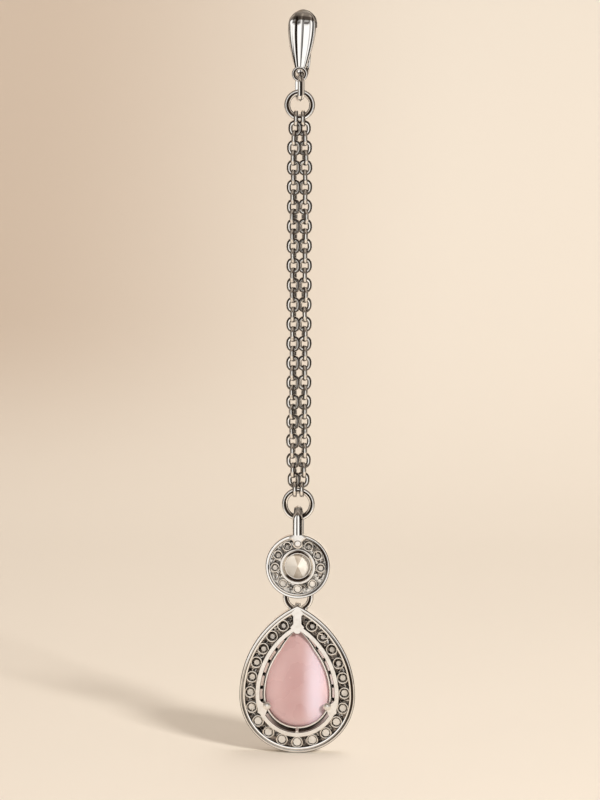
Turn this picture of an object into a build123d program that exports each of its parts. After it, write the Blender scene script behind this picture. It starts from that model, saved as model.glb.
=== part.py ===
from build123d import *

import os
from math import asin, cos, degrees, pi, radians, sin, sqrt

# Maang tikka (forehead ornament) in polished white metal: a leaf-shaped hair hook, two fine
# chains between two wire rings, a round stone-set halo, and a large pear-shaped drop.
# Millimetres. +Z is up, +Y is the side with the stones' faces, -Y is the open back.
# The origin is where the hair carries it: the inside top of the hook, above the chains.

# ---- driving dimensions -------------------------------------------------------------------
CLEARANCE = 0.12  # between linked pieces

# hair hook: a flat band bent over, with the leaf on the back and a plain limb on the far side
HOOK_THICKNESS = 0.8
HOOK_GAP = 3.4
LEAF_WIDTH = 5.4
LEAF_WIDEST_DROP = 3.1
LEAF_NECK_WIDTH = 2.0
EYE_DROP = 11.8
EYE_WIRE = 0.56
EYE_DIAMETER = 3.2
HOOK_LEAN = 3.4  # degrees, the top of the hook to +X
CROWN_HEIGHT = 0.8  # the leaf's rounded top above the origin
TONGUE_TIP_WIDTH = 2.6
TONGUE_CURVE = 90.0
TONGUE_LENGTH = 10.3

# band link between the hook's eye and the top ring
LINK_WIDTH = 1.64
LINK_THICKNESS = 0.9
LINK_HEIGHT = 5.14
LINK_RADIUS = 1.15
LINK_TURN = 15.0  # degrees about the vertical

# wire rings at the ends of the chains
TOP_RING_RADIUS = 2.36
TOP_RING_WIRE = 1.13
TOP_RING_DROP = 17.57
LOW_RING_RADIUS = 2.6
LOW_RING_WIRE = 1.1
LOW_RING_DROP = 93.79

# two chains side by side, one a little in front of the other
CHAIN_DIAMETER = 2.0
CHAIN_SPREAD = 1.1
CHAIN_STAGGER = 0.3
END_LINK_WIRE = 0.7
END_LINK_HEIGHT = 3.2
END_LINK_RADIUS = 1.0
END_LINK_SPREAD = 0.67

# round halo
HALO_DROP = 105.7
HALO_RADIUS = 6.15
HALO_RAIL = 0.8
HALO_BACK = -1.5
HALO_FRONT = 1.5
HALO_FLOOR = 0.6  # back face of the setting plate
HALO_PLATE_FRONT = 1.3
CUP_STEP = 0.25  # how far the cups stop short of the rails' back edge
BEZEL_RADIUS = 3.41
BEZEL_WALL = 0.26
SEAT_RADIUS = 2.42
SEAT_DEPTH = 1.1  # from the halo's back face
BEZEL_LIP = 0.3  # height turned in over the stone
BEZEL_GRIP = 0.1  # how far the lip covers the stone
GIRDLE_RECESS = 0.6  # below the lip's foot, for the stone's edge
HALO_CUP_RING = 4.38
HALO_CUP_RADIUS = 1.0
HALO_CUP_ANGLES = (28, 60, 93, 140)  # each side, clockwise from the bail; one more at 180
STONE_GIRDLE_RADIUS = 2.9
STONE_GIRDLE_DEPTH = 0.85
STONE_GIRDLE_THICKNESS = 0.12
STONE_CROWN = 0.88
STONE_TABLE_SHARE = 0.56
STONE_POINT = -1.05

# bail of the halo, and the half ring under it that carries the pear
BAIL_WIDTH = 1.96
BAIL_SLOT = 0.75
BAIL_OUTER = 2.15
BAIL_TAPER = 0.2
BAIL_SLOT_LENGTH = 1.4
BAIL_CHAMFER = 0.3
SOLDER_LENGTH = 3.3
SOLDER_BACK = -1.9
SOLDER_FRONT = -1.0
SOLDER_OVERLAP = 0.5
SOLDER_FOOT_RADIUS = 0.95
LOOP_DROP = 111.8
LOOP_RADIUS = 2.37
LOOP_WIRE = 1.15
LOOP_DEPTH = 0.3
LOOP_SINK = 1.15  # how far the half ring's ends reach into the halo

# pear drop
PEAR_DROP = 130.6
PEAR_HALF_WIDTH = 11.1
PEAR_RISE = 17.3
PEAR_RAIL = 1.1
PEAR_BACK = -1.9
PEAR_FRONT = 1.5
GALLERY_HALF_WIDTH = 8.03
GALLERY_RISE = 13.25
GALLERY_OPENING = 7.2
GALLERY_OPENING_RISE = 12.3
LEDGE_BACK = 0.0
LEDGE_FRONT = 1.1
LEDGE_OVERLAP = 0.2
PLATE_BACK = 0.7
PLATE_FRONT = 1.4
PLATE_OUTER_RISE = 16.4
PLATE_OVERLAP = 0.3
PLATE_INNER_RISE = 12.75
PEAR_CUP_RADIUS = 1.05
CUP_HOLE_RADIUS = 0.62
PEAR_CUP_LINE = 9.05
PEAR_CUP_RISE = 15.4
PEAR_CUP_PITCH = 2.96
PEAR_CUPS_PER_SIDE = 10
BRIDGE_WIDTH = 1.57
BRIDGE_FOOT = 12.75
BRIDGE_TOP = 16.6
BRIDGE_BACK = -1.8
APEX_PLATE = 0.9
EAR_WIDTH = 1.15
EAR_RADIUS = 1.45
RAIL_ROUND = 0.2
CLAW_BACK = -1.8
CLAW_FRONT = -1.28
CLAW_TIP = 0.7
CLAW_ACROSS = 5.8  # from the middle to each low claw's tip
CLAW_DROP = 2.0  # below the pear's widest line
CLAW_ROOT = 7.5
CLAW_ROOT_HIGH = 0.7
CLAW_ROOT_LOW = 3.6
CLAW_ROOT_LOW_ACROSS = 6.8
TOP_CLAW_RISE = 12.05

# pear cabochon, 12 by 18
CABOCHON_HALF_WIDTH = 6.2
CABOCHON_RISE = 12.2
CABOCHON_BACK = -1.1
CABOCHON_FRONT = 3.6
CABOCHON_TIP_ROUND = 1.0
CABOCHON_GIRDLE = 0.5
CABOCHON_BACK_ROUND = 0.5
DOME_LEVELS = (0.0, 0.45, 0.78, 0.95)

os.makedirs("parts", exist_ok=True)


def face_plane(depth, drop=0.0):
    """A drawing plane square to the ornament's faces: X across, Z up; it extrudes towards -Y."""
    return Plane(origin=(0, depth, -drop), x_dir=(1, 0, 0), z_dir=(0, -1, 0))


def finish(piece, name):
    """Labels one piece and writes it as its own STEP file."""
    piece.part.label = name
    export_step(piece.part, f"parts/{name}.step")


def pear_outline(half_width, rise, mode=Mode.ADD, tip_round=0.0):
    """A pear: half a circle below its widest line, and two arcs that meet at the tip above."""
    with BuildSketch(mode=Mode.PRIVATE) as pear:
        with BuildLine():
            ThreePointArc((-half_width, 0), (0, -half_width), (half_width, 0))
            TangentArc((half_width, 0), (0, rise), tangent=(0, 1))
            TangentArc((-half_width, 0), (0, rise), tangent=(0, 1))
        make_face()
        if tip_round:
            fillet(pear.vertices().sort_by(Axis.Y)[-1], radius=tip_round)
    add(pear.sketch, mode=mode)


def pear_station(length, half_width, rise):
    """The point that far along a pear-shaped line, counted from its lowest point."""
    bowl_length = half_width * pi / 2
    if length <= bowl_length:
        turn = length / half_width
        return (half_width * sin(turn), -half_width * cos(turn))
    side_radius = (half_width**2 + rise**2) / (2 * half_width)
    turn = (length - bowl_length) / side_radius
    return (half_width - side_radius + side_radius * cos(turn), side_radius * sin(turn))


def wire_ring(radius, wire, drop, depth=0.0, arc=360.0):
    """Round wire bent about an axis along Y, starting at the ring's +X side when arc is 180."""
    centre = (0, depth, -drop)
    start = Plane(origin=centre, x_dir=(1, 0, 0), z_dir=(0, 0, 1))
    with BuildSketch(start) as section:
        with Locations((radius, 0)):
            Circle(wire / 2)
    revolve(section.sketch, axis=Axis(centre, (0, 1, 0)), revolution_arc=arc)


def oval_link(wire_width, wire_thickness, height, radius, top_drop, across=0.0, turn=0.0):
    """A closed oval link standing edge-on, swept from an oval wire."""
    straight = height - 2 * radius - wire_thickness
    middle = -(top_drop + height / 2)
    stand = Plane(
        origin=(across, 0, middle),
        x_dir=(-sin(radians(turn)), cos(radians(turn)), 0),
        z_dir=(cos(radians(turn)), sin(radians(turn)), 0),
    )
    with BuildLine(stand) as path:
        Line((radius, -straight / 2), (radius, straight / 2))
        ThreePointArc((radius, straight / 2), (0, straight / 2 + radius), (-radius, straight / 2))
        Line((-radius, straight / 2), (-radius, -straight / 2))
        ThreePointArc((-radius, -straight / 2), (0, -straight / 2 - radius), (radius, -straight / 2))
    start = Plane(origin=path.line @ 0, x_dir=stand.x_dir, z_dir=(0, 0, 1))
    with BuildSketch(start) as section:
        Ellipse(wire_thickness / 2, wire_width / 2)
    sweep(section.sketch, path=path.line)


# ---- hair hook ----------------------------------------------------------------------------
bend_radius = (HOOK_GAP + HOOK_THICKNESS) / 2
bend_drop = HOOK_GAP / 2
eye_radius = (EYE_DIAMETER - EYE_WIRE) / 2
neck_drop = EYE_DROP - eye_radius
limb_slope = asin(bend_radius / (neck_drop - bend_drop))
leaf_start = (-bend_radius * cos(limb_slope), -bend_drop - bend_radius * sin(limb_slope))

with BuildPart() as outlines:
    with BuildSketch(face_plane(0)) as leaf:
        with BuildLine():
            neck = LEAF_NECK_WIDTH / 2
            wide = LEAF_WIDTH / 2
            ThreePointArc(
                (-wide, -LEAF_WIDEST_DROP),
                (0, CROWN_HEIGHT),
                (wide, -LEAF_WIDEST_DROP),
            )
            Line((-neck, -neck_drop), (neck, -neck_drop))
            TangentArc((wide, -LEAF_WIDEST_DROP), (neck, -neck_drop), tangent=(0, -1))
            TangentArc((-wide, -LEAF_WIDEST_DROP), (-neck, -neck_drop), tangent=(0, -1))
        make_face()
    extrude(amount=2 * HOOK_GAP)
    with BuildSketch(face_plane(2 * HOOK_GAP)) as tongue:
        with BuildLine():
            tip = TONGUE_TIP_WIDTH / 2
            tip_drop = bend_drop + TONGUE_LENGTH - tip
            ThreePointArc(
                (-wide, -LEAF_WIDEST_DROP),
                (0, CROWN_HEIGHT),
                (wide, -LEAF_WIDEST_DROP),
            )
            Line((wide, -LEAF_WIDEST_DROP), (tip, -tip_drop))
            Line((-wide, -LEAF_WIDEST_DROP), (-tip, -tip_drop))
            ThreePointArc((-tip, -tip_drop), (0, -tip_drop - tip), (tip, -tip_drop))
        make_face()
    extrude(amount=2 * HOOK_GAP)

with BuildPart() as hook:
    with BuildSketch(Plane.YZ):
        with BuildLine():
            Line((0, -neck_drop), leaf_start)
            ThreePointArc(leaf_start, (0, -bend_drop + bend_radius), (bend_radius, -bend_drop))
            JernArc(
                start=(bend_radius, -bend_drop),
                tangent=(0, -1),
                radius=TONGUE_CURVE,
                arc_size=degrees(TONGUE_LENGTH / TONGUE_CURVE),
            )
        trace(line_width=HOOK_THICKNESS)
    extrude(amount=LEAF_WIDTH, both=True)
    add(outlines.part, mode=Mode.INTERSECT)
    wire_ring(eye_radius, EYE_WIRE, EYE_DROP)

with BuildPart() as leaning_hook:
    eye_centre = Axis((0, 0, -EYE_DROP), (0, 1, 0))
    add(hook.part.rotate(eye_centre, HOOK_LEAN))

finish(leaning_hook, "hook")

# ---- band link ----------------------------------------------------------------------------
eye_floor = EYE_DROP + eye_radius - EYE_WIRE / 2
link_top = eye_floor - CLEARANCE - LINK_THICKNESS

with BuildPart() as hook_link:
    oval_link(
        LINK_WIDTH, LINK_THICKNESS, LINK_HEIGHT, LINK_RADIUS, link_top, turn=LINK_TURN
    )

finish(hook_link, "hook_link")

# ---- wire rings ---------------------------------------------------------------------------
with BuildPart() as top_ring:
    wire_ring(TOP_RING_RADIUS, TOP_RING_WIRE, TOP_RING_DROP)

finish(top_ring, "top_ring")

with BuildPart() as low_ring:
    wire_ring(LOW_RING_RADIUS, LOW_RING_WIRE, LOW_RING_DROP)

finish(low_ring, "low_ring")

# ---- chains: each one straight tube with its first and last link --------------------------
upper_wire_drop = TOP_RING_DROP + TOP_RING_RADIUS
lower_wire_drop = LOW_RING_DROP - LOW_RING_RADIUS
tube_top = upper_wire_drop + TOP_RING_WIRE / 2 + 2 * CLEARANCE
tube_bottom = lower_wire_drop - LOW_RING_WIRE / 2 - 2 * CLEARANCE
first_link_top = upper_wire_drop - TOP_RING_WIRE / 2 - CLEARANCE - END_LINK_WIRE
last_link_top = (
    lower_wire_drop + LOW_RING_WIRE / 2 + CLEARANCE + END_LINK_WIRE - END_LINK_HEIGHT
)


def chain_strand(side):
    """One chain as a tube of its width, held at both ends by a link round a ring's wire."""
    tube_end = Plane(origin=(side * CHAIN_SPREAD, side * CHAIN_STAGGER, -tube_bottom))
    with BuildSketch(tube_end) as section:
        Circle(CHAIN_DIAMETER / 2)
    extrude(section.sketch, amount=tube_bottom - tube_top)
    for link_drop in (first_link_top, last_link_top):
        oval_link(
            END_LINK_WIRE,
            END_LINK_WIRE,
            END_LINK_HEIGHT,
            END_LINK_RADIUS,
            link_drop,
            across=side * END_LINK_SPREAD,
        )


with BuildPart() as chain_left:
    chain_strand(-1)

finish(chain_left, "chain_left")

with BuildPart() as chain_right:
    chain_strand(1)

finish(chain_right, "chain_right")

# ---- round halo with its bail and half ring -----------------------------------------------
halo_axis = Axis((0, 0, -HALO_DROP), (0, 1, 0))
halo_side = Plane(origin=(0, 0, -HALO_DROP), x_dir=(0, 1, 0), z_dir=(1, 0, 0))
wire_drop = LOW_RING_DROP + LOW_RING_RADIUS
halo_top = HALO_DROP - HALO_RADIUS
rail_middle = halo_top + HALO_RAIL / 2
bezel_bore = BEZEL_RADIUS - BEZEL_WALL

with BuildPart() as halo:
    # outer rail, with a rounded back edge
    with BuildSketch(face_plane(HALO_FRONT, HALO_DROP)):
        Circle(HALO_RADIUS)
        Circle(HALO_RADIUS - HALO_RAIL, mode=Mode.SUBTRACT)
    extrude(amount=HALO_FRONT - HALO_BACK)
    fillet(halo.edges().group_by(Axis.Y)[0], radius=RAIL_ROUND)
    # setting plate that the small stones sit in, seen as the floor from behind
    with BuildSketch(face_plane(HALO_PLATE_FRONT, HALO_DROP)):
        Circle(HALO_RADIUS - HALO_RAIL / 2)
        Circle(BEZEL_RADIUS - BEZEL_WALL / 2, mode=Mode.SUBTRACT)
    extrude(amount=HALO_PLATE_FRONT - HALO_FLOOR)
    # cups behind the small stones
    cup_turns = [180] + [side * turn for turn in HALO_CUP_ANGLES for side in (-1, 1)]
    cup_places = [
        (HALO_CUP_RING * sin(radians(turn)), HALO_CUP_RING * cos(radians(turn)))
        for turn in cup_turns
    ]
    with BuildSketch(face_plane(HALO_PLATE_FRONT, HALO_DROP)):
        with Locations(*cup_places):
            Circle(HALO_CUP_RADIUS)
    extrude(amount=HALO_PLATE_FRONT - HALO_BACK - CUP_STEP)
    # bezel round the middle stone: open behind, narrowed at the seat, turned in at the front
    with BuildSketch(halo_side):
        with BuildLine():
            Polyline(
                (HALO_BACK, BEZEL_RADIUS),
                (HALO_BACK, bezel_bore),
                (HALO_BACK + SEAT_DEPTH, SEAT_RADIUS),
                (HALO_FRONT - BEZEL_LIP - GIRDLE_RECESS, STONE_GIRDLE_RADIUS + CLEARANCE),
                (HALO_FRONT - BEZEL_LIP, STONE_GIRDLE_RADIUS + CLEARANCE),
                (HALO_FRONT, STONE_GIRDLE_RADIUS - BEZEL_GRIP),
                (HALO_FRONT, BEZEL_RADIUS),
                close=True,
            )
        make_face()
    revolve(axis=halo_axis)
    # seats drilled through
    with BuildSketch(face_plane(HALO_FRONT, HALO_DROP)):
        with Locations(*cup_places):
            Circle(CUP_HOLE_RADIUS)
    extrude(amount=HALO_FRONT - HALO_BACK, mode=Mode.SUBTRACT)
    # bail: a strap bent over the low ring's wire, its back limb soldered down over the rail
    with BuildSketch(Plane.YZ.offset(BAIL_WIDTH / 2)):
        with BuildLine():
            ThreePointArc(
                (-BAIL_OUTER, -wire_drop), (0, BAIL_OUTER - wire_drop), (BAIL_OUTER, -wire_drop)
            )
            Polyline(
                (BAIL_OUTER, -wire_drop),
                (HALO_FRONT, -halo_top),
                (HALO_FRONT - BAIL_CHAMFER, -rail_middle),
                (BAIL_TAPER - BAIL_OUTER, -rail_middle),
                (-BAIL_OUTER, -wire_drop),
            )
        make_face()
        with Locations((0, -wire_drop)):
            Circle(BAIL_SLOT, mode=Mode.SUBTRACT)
        with Locations((0, -(wire_drop + halo_top) / 2)):
            Rectangle(2 * BAIL_SLOT, halo_top - wire_drop - BAIL_SLOT_LENGTH, mode=Mode.SUBTRACT)
        with Locations((0, -wire_drop - BAIL_SLOT_LENGTH / 2)):
            Rectangle(2 * BAIL_SLOT, BAIL_SLOT_LENGTH, mode=Mode.SUBTRACT)
    extrude(amount=-BAIL_WIDTH)
    # solder tongue over the rail and the top cup
    tongue_middle = halo_top + SOLDER_LENGTH / 2 - SOLDER_OVERLAP
    with BuildSketch(face_plane(SOLDER_FRONT, tongue_middle)):
        SlotOverall(SOLDER_LENGTH + 2 * SOLDER_OVERLAP, BAIL_WIDTH, rotation=90)
    extrude(amount=SOLDER_FRONT - SOLDER_BACK)
    with BuildSketch(face_plane(HALO_FLOOR, halo_top + SOLDER_LENGTH - BAIL_WIDTH / 2)):
        Circle(SOLDER_FOOT_RADIUS)
    extrude(amount=HALO_FLOOR - HALO_BACK)
    # half ring for the pear, its ends let into the rail
    wire_ring(LOOP_RADIUS, LOOP_WIRE, LOOP_DROP, LOOP_DEPTH, arc=180)
    with BuildSketch(Plane(origin=(0, LOOP_DEPTH, -LOOP_DROP))):
        with Locations((-LOOP_RADIUS, 0), (LOOP_RADIUS, 0)):
            Circle(LOOP_WIRE / 2)
    extrude(amount=LOOP_DROP - HALO_DROP - HALO_RADIUS + LOOP_SINK)

finish(halo, "halo")

stone_table = STONE_GIRDLE_DEPTH + STONE_GIRDLE_THICKNESS + STONE_CROWN

with BuildPart() as round_stone:
    with BuildSketch(halo_side):
        with BuildLine():
            Polyline(
                (STONE_POINT, 0),
                (STONE_GIRDLE_DEPTH, STONE_GIRDLE_RADIUS),
                (STONE_GIRDLE_DEPTH + STONE_GIRDLE_THICKNESS, STONE_GIRDLE_RADIUS),
                (stone_table, STONE_GIRDLE_RADIUS * STONE_TABLE_SHARE),
                (stone_table, 0),
                close=True,
            )
        make_face()
    revolve(axis=halo_axis)

finish(round_stone, "round_stone")

# ---- pear frame ---------------------------------------------------------------------------
pear_wire_drop = LOOP_DROP + LOOP_RADIUS
apex_drop = PEAR_DROP - PEAR_RISE
side_radius = (PEAR_HALF_WIDTH**2 + PEAR_RISE**2) / (2 * PEAR_HALF_WIDTH)
rail_inner_rise = sqrt((side_radius - PEAR_RAIL) ** 2 - (side_radius - PEAR_HALF_WIDTH) ** 2)
pear_cup_places = []
for number in range(PEAR_CUPS_PER_SIDE + 1):
    x, z = pear_station(number * PEAR_CUP_PITCH, PEAR_CUP_LINE, PEAR_CUP_RISE)
    pear_cup_places.append((x, z))
    if number:
        pear_cup_places.append((-x, z))

with BuildPart() as pear_frame:
    # outer wall
    with BuildSketch(face_plane(PEAR_FRONT, PEAR_DROP)):
        pear_outline(PEAR_HALF_WIDTH, PEAR_RISE)
        pear_outline(PEAR_HALF_WIDTH - PEAR_RAIL, rail_inner_rise, mode=Mode.SUBTRACT)
    extrude(amount=PEAR_FRONT - PEAR_BACK)
    fillet(pear_frame.edges().group_by(Axis.Y)[0], radius=RAIL_ROUND)
    # gallery wall round the cabochon, with the ledge that its edge rests in
    with BuildSketch(face_plane(PEAR_FRONT, PEAR_DROP)):
        pear_outline(GALLERY_HALF_WIDTH, GALLERY_RISE)
        pear_outline(GALLERY_OPENING, GALLERY_OPENING_RISE, mode=Mode.SUBTRACT)
    extrude(amount=PEAR_FRONT - PEAR_BACK)
    with BuildSketch(face_plane(LEDGE_FRONT, PEAR_DROP)):
        pear_outline(GALLERY_OPENING + LEDGE_OVERLAP, GALLERY_OPENING_RISE + LEDGE_OVERLAP)
        pear_outline(
            CABOCHON_HALF_WIDTH + CLEARANCE, CABOCHON_RISE + CLEARANCE, mode=Mode.SUBTRACT
        )
    extrude(amount=LEDGE_FRONT - LEDGE_BACK)
    # setting plate between the two walls
    with BuildSketch(face_plane(PLATE_FRONT, PEAR_DROP)):
        pear_outline(PEAR_HALF_WIDTH - PEAR_RAIL / 2, PLATE_OUTER_RISE)
        pear_outline(GALLERY_HALF_WIDTH - PLATE_OVERLAP, PLATE_INNER_RISE, mode=Mode.SUBTRACT)
    extrude(amount=PLATE_FRONT - PLATE_BACK)
    # cups behind the small stones, and the bridge from the gallery to the tip
    with BuildSketch(face_plane(PLATE_FRONT, PEAR_DROP)):
        with Locations(*pear_cup_places):
            Circle(PEAR_CUP_RADIUS)
    extrude(amount=PLATE_FRONT - PEAR_BACK - CUP_STEP)
    with BuildSketch(face_plane(PEAR_FRONT, PEAR_DROP)):
        with Locations((0, (BRIDGE_FOOT + BRIDGE_TOP) / 2)):
            Rectangle(BRIDGE_WIDTH, BRIDGE_TOP - BRIDGE_FOOT)
    extrude(amount=PEAR_FRONT - BRIDGE_BACK)
    with BuildSketch(face_plane(PEAR_FRONT, PEAR_DROP)):
        with Locations(*pear_cup_places):
            Circle(CUP_HOLE_RADIUS)
    extrude(amount=PEAR_FRONT - PEAR_BACK, mode=Mode.SUBTRACT)
    # notch under the tip that the half ring swings in, and the ear round the ring's wire
    notch_drop = pear_wire_drop + LOOP_WIRE / 2 + 2 * CLEARANCE
    with BuildSketch(face_plane(PEAR_FRONT, (apex_drop + notch_drop) / 2)):
        Rectangle(2 * LOOP_RADIUS, notch_drop - apex_drop)
    extrude(amount=PEAR_FRONT - PEAR_BACK - APEX_PLATE, mode=Mode.SUBTRACT)
    with BuildSketch(Plane.YZ.offset(EAR_WIDTH / 2)):
        with Locations((LOOP_DEPTH, -pear_wire_drop)):
            Circle(EAR_RADIUS)
            Circle(LOOP_WIRE / 2 + 1.5 * CLEARANCE, mode=Mode.SUBTRACT)
    extrude(amount=-EAR_WIDTH)
    # three claws over the cabochon's edge: one under the tip, two low at the sides
    with BuildSketch(face_plane(CLAW_FRONT, PEAR_DROP)):
        with Locations((0, TOP_CLAW_RISE)):
            Circle(CLAW_TIP)
        for side in (-1, 1):
            with BuildLine():
                Polyline(
                    (side * CLAW_ROOT, -CLAW_ROOT_HIGH),
                    (side * CLAW_ACROSS, CLAW_TIP - CLAW_DROP),
                    (side * CLAW_ACROSS, -CLAW_TIP - CLAW_DROP),
                    (side * CLAW_ROOT_LOW_ACROSS, -CLAW_ROOT_LOW),
                    close=True,
                )
            make_face()
            with Locations((side * CLAW_ACROSS, -CLAW_DROP)):
                Circle(CLAW_TIP)
    extrude(amount=CLAW_FRONT - CLAW_BACK)

finish(pear_frame, "pear_frame")

# ---- pear cabochon ------------------------------------------------------------------------
dome_height = CABOCHON_FRONT - CABOCHON_GIRDLE

with BuildPart() as pear_cabochon:
    with BuildSketch(face_plane(CABOCHON_GIRDLE, PEAR_DROP)):
        pear_outline(CABOCHON_HALF_WIDTH, CABOCHON_RISE, tip_round=CABOCHON_TIP_ROUND)
    extrude(amount=CABOCHON_GIRDLE - CABOCHON_BACK)
    fillet(pear_cabochon.edges().group_by(Axis.Y)[0], radius=CABOCHON_BACK_ROUND)
    for level in DOME_LEVELS:
        spread = sqrt(1 - level**2)
        with BuildSketch(face_plane(CABOCHON_GIRDLE + level * dome_height, PEAR_DROP)):
            pear_outline(
                CABOCHON_HALF_WIDTH * spread,
                CABOCHON_RISE * spread,
                tip_round=CABOCHON_TIP_ROUND * spread,
            )
    loft()

finish(pear_cabochon, "pear_cabochon")
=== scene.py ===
import random
from math import (
    acos, asin, atan2, copysign, cos, degrees, exp, hypot, pi, radians, sin, sqrt, tan,
)

import bmesh
import bpy
from mathutils import Matrix, Quaternion, Vector


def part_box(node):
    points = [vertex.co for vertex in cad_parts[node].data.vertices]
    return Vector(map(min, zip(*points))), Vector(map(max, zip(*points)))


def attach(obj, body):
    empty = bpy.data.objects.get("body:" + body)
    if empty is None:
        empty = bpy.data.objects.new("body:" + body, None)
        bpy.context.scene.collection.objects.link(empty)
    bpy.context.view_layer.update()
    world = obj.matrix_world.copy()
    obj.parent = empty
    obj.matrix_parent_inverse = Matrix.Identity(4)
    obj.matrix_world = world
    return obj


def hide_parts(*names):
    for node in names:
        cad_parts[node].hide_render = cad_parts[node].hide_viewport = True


# Maang tikka in polished white metal: hair hook, band link, two cable chains between two wire
# rings, a round halo and a pear drop with a pink cabochon. The open back faces -Y.
# Sizes below are in millimetres; every mesh is written in metres.

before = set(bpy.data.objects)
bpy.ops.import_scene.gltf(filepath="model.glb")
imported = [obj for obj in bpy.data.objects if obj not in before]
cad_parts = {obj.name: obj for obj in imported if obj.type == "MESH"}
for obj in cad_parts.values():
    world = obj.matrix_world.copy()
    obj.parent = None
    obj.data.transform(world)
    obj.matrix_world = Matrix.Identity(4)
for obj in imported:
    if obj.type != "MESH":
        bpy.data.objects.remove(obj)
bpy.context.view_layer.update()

MM = 0.001
SEED = 7


# ---- sizes read from the frame --------------------------------------------------------------
def corners(node):
    """Lowest and highest corner of a CAD node, in millimetres."""
    low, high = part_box(node)
    return low / MM, high / MM


hook_low = corners("hook")[0]
link_low, link_high = corners("hook_link")
top_ring_low, top_ring_high = corners("top_ring")
low_ring_low, low_ring_high = corners("low_ring")
left_low, left_high = corners("chain_left")
right_low, right_high = corners("chain_right")
halo_low, halo_high = corners("halo")
round_low, round_high = corners("round_stone")
pear_low, pear_high = corners("pear_frame")
cabochon_low, cabochon_high = corners("pear_cabochon")

HALO_Z = (round_low.z + round_high.z) / 2
HALO_RADIUS = halo_high.x
PEAR_HALF = pear_high.x
PEAR_Z = pear_low.z + PEAR_HALF
CABOCHON_HALF = cabochon_high.x
CABOCHON_SEAT = 0.12  # how much of its point is rounded off
CABOCHON_RISE = cabochon_high.z - PEAR_Z + CABOCHON_SEAT


# ---- mesh making ----------------------------------------------------------------------------
def set_piece(name, mesh, material, body, slot, replaces=()):
    """Puts a finished mesh into the scene as one piece that rides on a body."""
    mesh.name = name
    mesh.materials.clear()
    mesh.materials.append(material)
    piece = bpy.data.objects.new(name, mesh)
    bpy.context.scene.collection.objects.link(piece)
    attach(piece, body)
    if replaces:
        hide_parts(*replaces)
    return piece


def closed_mesh(name, parts, crease=32.0):
    """One mesh from (points, faces, marks) in millimetres; marks say where painted shade and painted
    dark reflections go.
    """
    build = bmesh.new()
    # each point's share of painted shade: painted dark reflection lines and painted shade, read by
    # the metal finishes
    painted_shade = build.verts.layers.float.new("painted_shade")
    for points, faces, *marks in parts:
        made = [build.verts.new(Vector(point) * MM) for point in points]
        for vert, mark in zip(made, marks[0] if marks else ()):
            vert[painted_shade] = mark
        for face in faces:
            build.faces.new([made[index] for index in face])
    bmesh.ops.remove_doubles(build, verts=build.verts, dist=0.002 * MM)
    bmesh.ops.recalc_face_normals(build, faces=build.faces)
    mesh = bpy.data.meshes.new(name)
    build.to_mesh(mesh)
    build.free()
    mesh.shade_smooth()
    mesh.set_sharp_from_angle(angle=radians(crease))
    return mesh


def piece(name, parts, finish, body, slot="white_metal", replaces=(), crease=32.0):
    """A finished piece made straight from its parts."""
    return set_piece(name, closed_mesh(name, parts, crease), finish, body, slot, replaces)


def clip(value):
    """The value kept between 0 and 1."""
    return max(0.0, min(1.0, value))


def skin(rings, closed=True, ring_marks=(), point_marks=()):
    """Faces over a list of closed rings with the same number of points; caps them if not closed."""
    count = len(rings[0])
    points = [point for ring in rings for point in ring]
    marks = [0.0] * len(points)
    if ring_marks:
        marks = [mark for mark in ring_marks for _ in range(count)]
    elif point_marks:
        marks = list(point_marks) * len(rings)
    faces = []
    for row in range(len(rings) if closed else len(rings) - 1):
        below = row * count
        above = ((row + 1) % len(rings)) * count
        for n in range(count):
            step = (n + 1) % count
            faces.append((below + n, below + step, above + step, above + n))
    if not closed:
        faces.append(tuple(range(count)))
        faces.append(tuple(range((len(rings) - 1) * count, len(rings) * count)))
    return points, faces, marks


def near_lines(value, lines):
    """How much painted shade a place across a section gets, from painted dark lines of (place, half
    width, darkness).
    """
    return max([0.0] + [dark for place, reach, dark in lines if abs(value - place) <= reach])


def softened(outline, steps=4):
    """A closed outline from (a, b, radius): corners rounded, with a narrow land on each side."""
    made = []
    count = len(outline)
    for n, (a, b, radius) in enumerate(outline):
        here = Vector((a, b))
        if radius <= 0:
            made.append((a, b))
            continue
        back = (Vector(outline[n - 1][:2]) - here).normalized()
        ahead = (Vector(outline[(n + 1) % count][:2]) - here).normalized()
        half_turn = back.angle(ahead) / 2
        reach = radius / tan(half_turn)
        middle = here + (back + ahead).normalized() * (radius / sin(half_turn))
        start = here + back * reach - middle
        end = here + ahead * reach - middle
        made.append(tuple(middle + start + back * radius * 0.2))
        for k in range(steps + 1):
            arc = start.lerp(end, k / steps).normalized() * radius
            made.append(tuple(middle + arc))
        made.append(tuple(middle + end + ahead * radius * 0.2))
    return made


def rail_section(outline, edge, back, steps=4):
    """A softened rail section from rows of (inset from the edge, depth from the back, radius)."""
    return softened([(edge + inset, back + depth, radius) for inset, depth, radius in outline], steps)


def halo_rings(section, count=96):
    """Rings for a section of (radius, y) turned about the halo's fore-aft axis."""
    turns = [2 * pi * n / count for n in range(count)]
    return [
        [(radius * sin(turn), y, HALO_Z + radius * cos(turn)) for turn in turns]
        for radius, y in section
    ]


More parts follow.
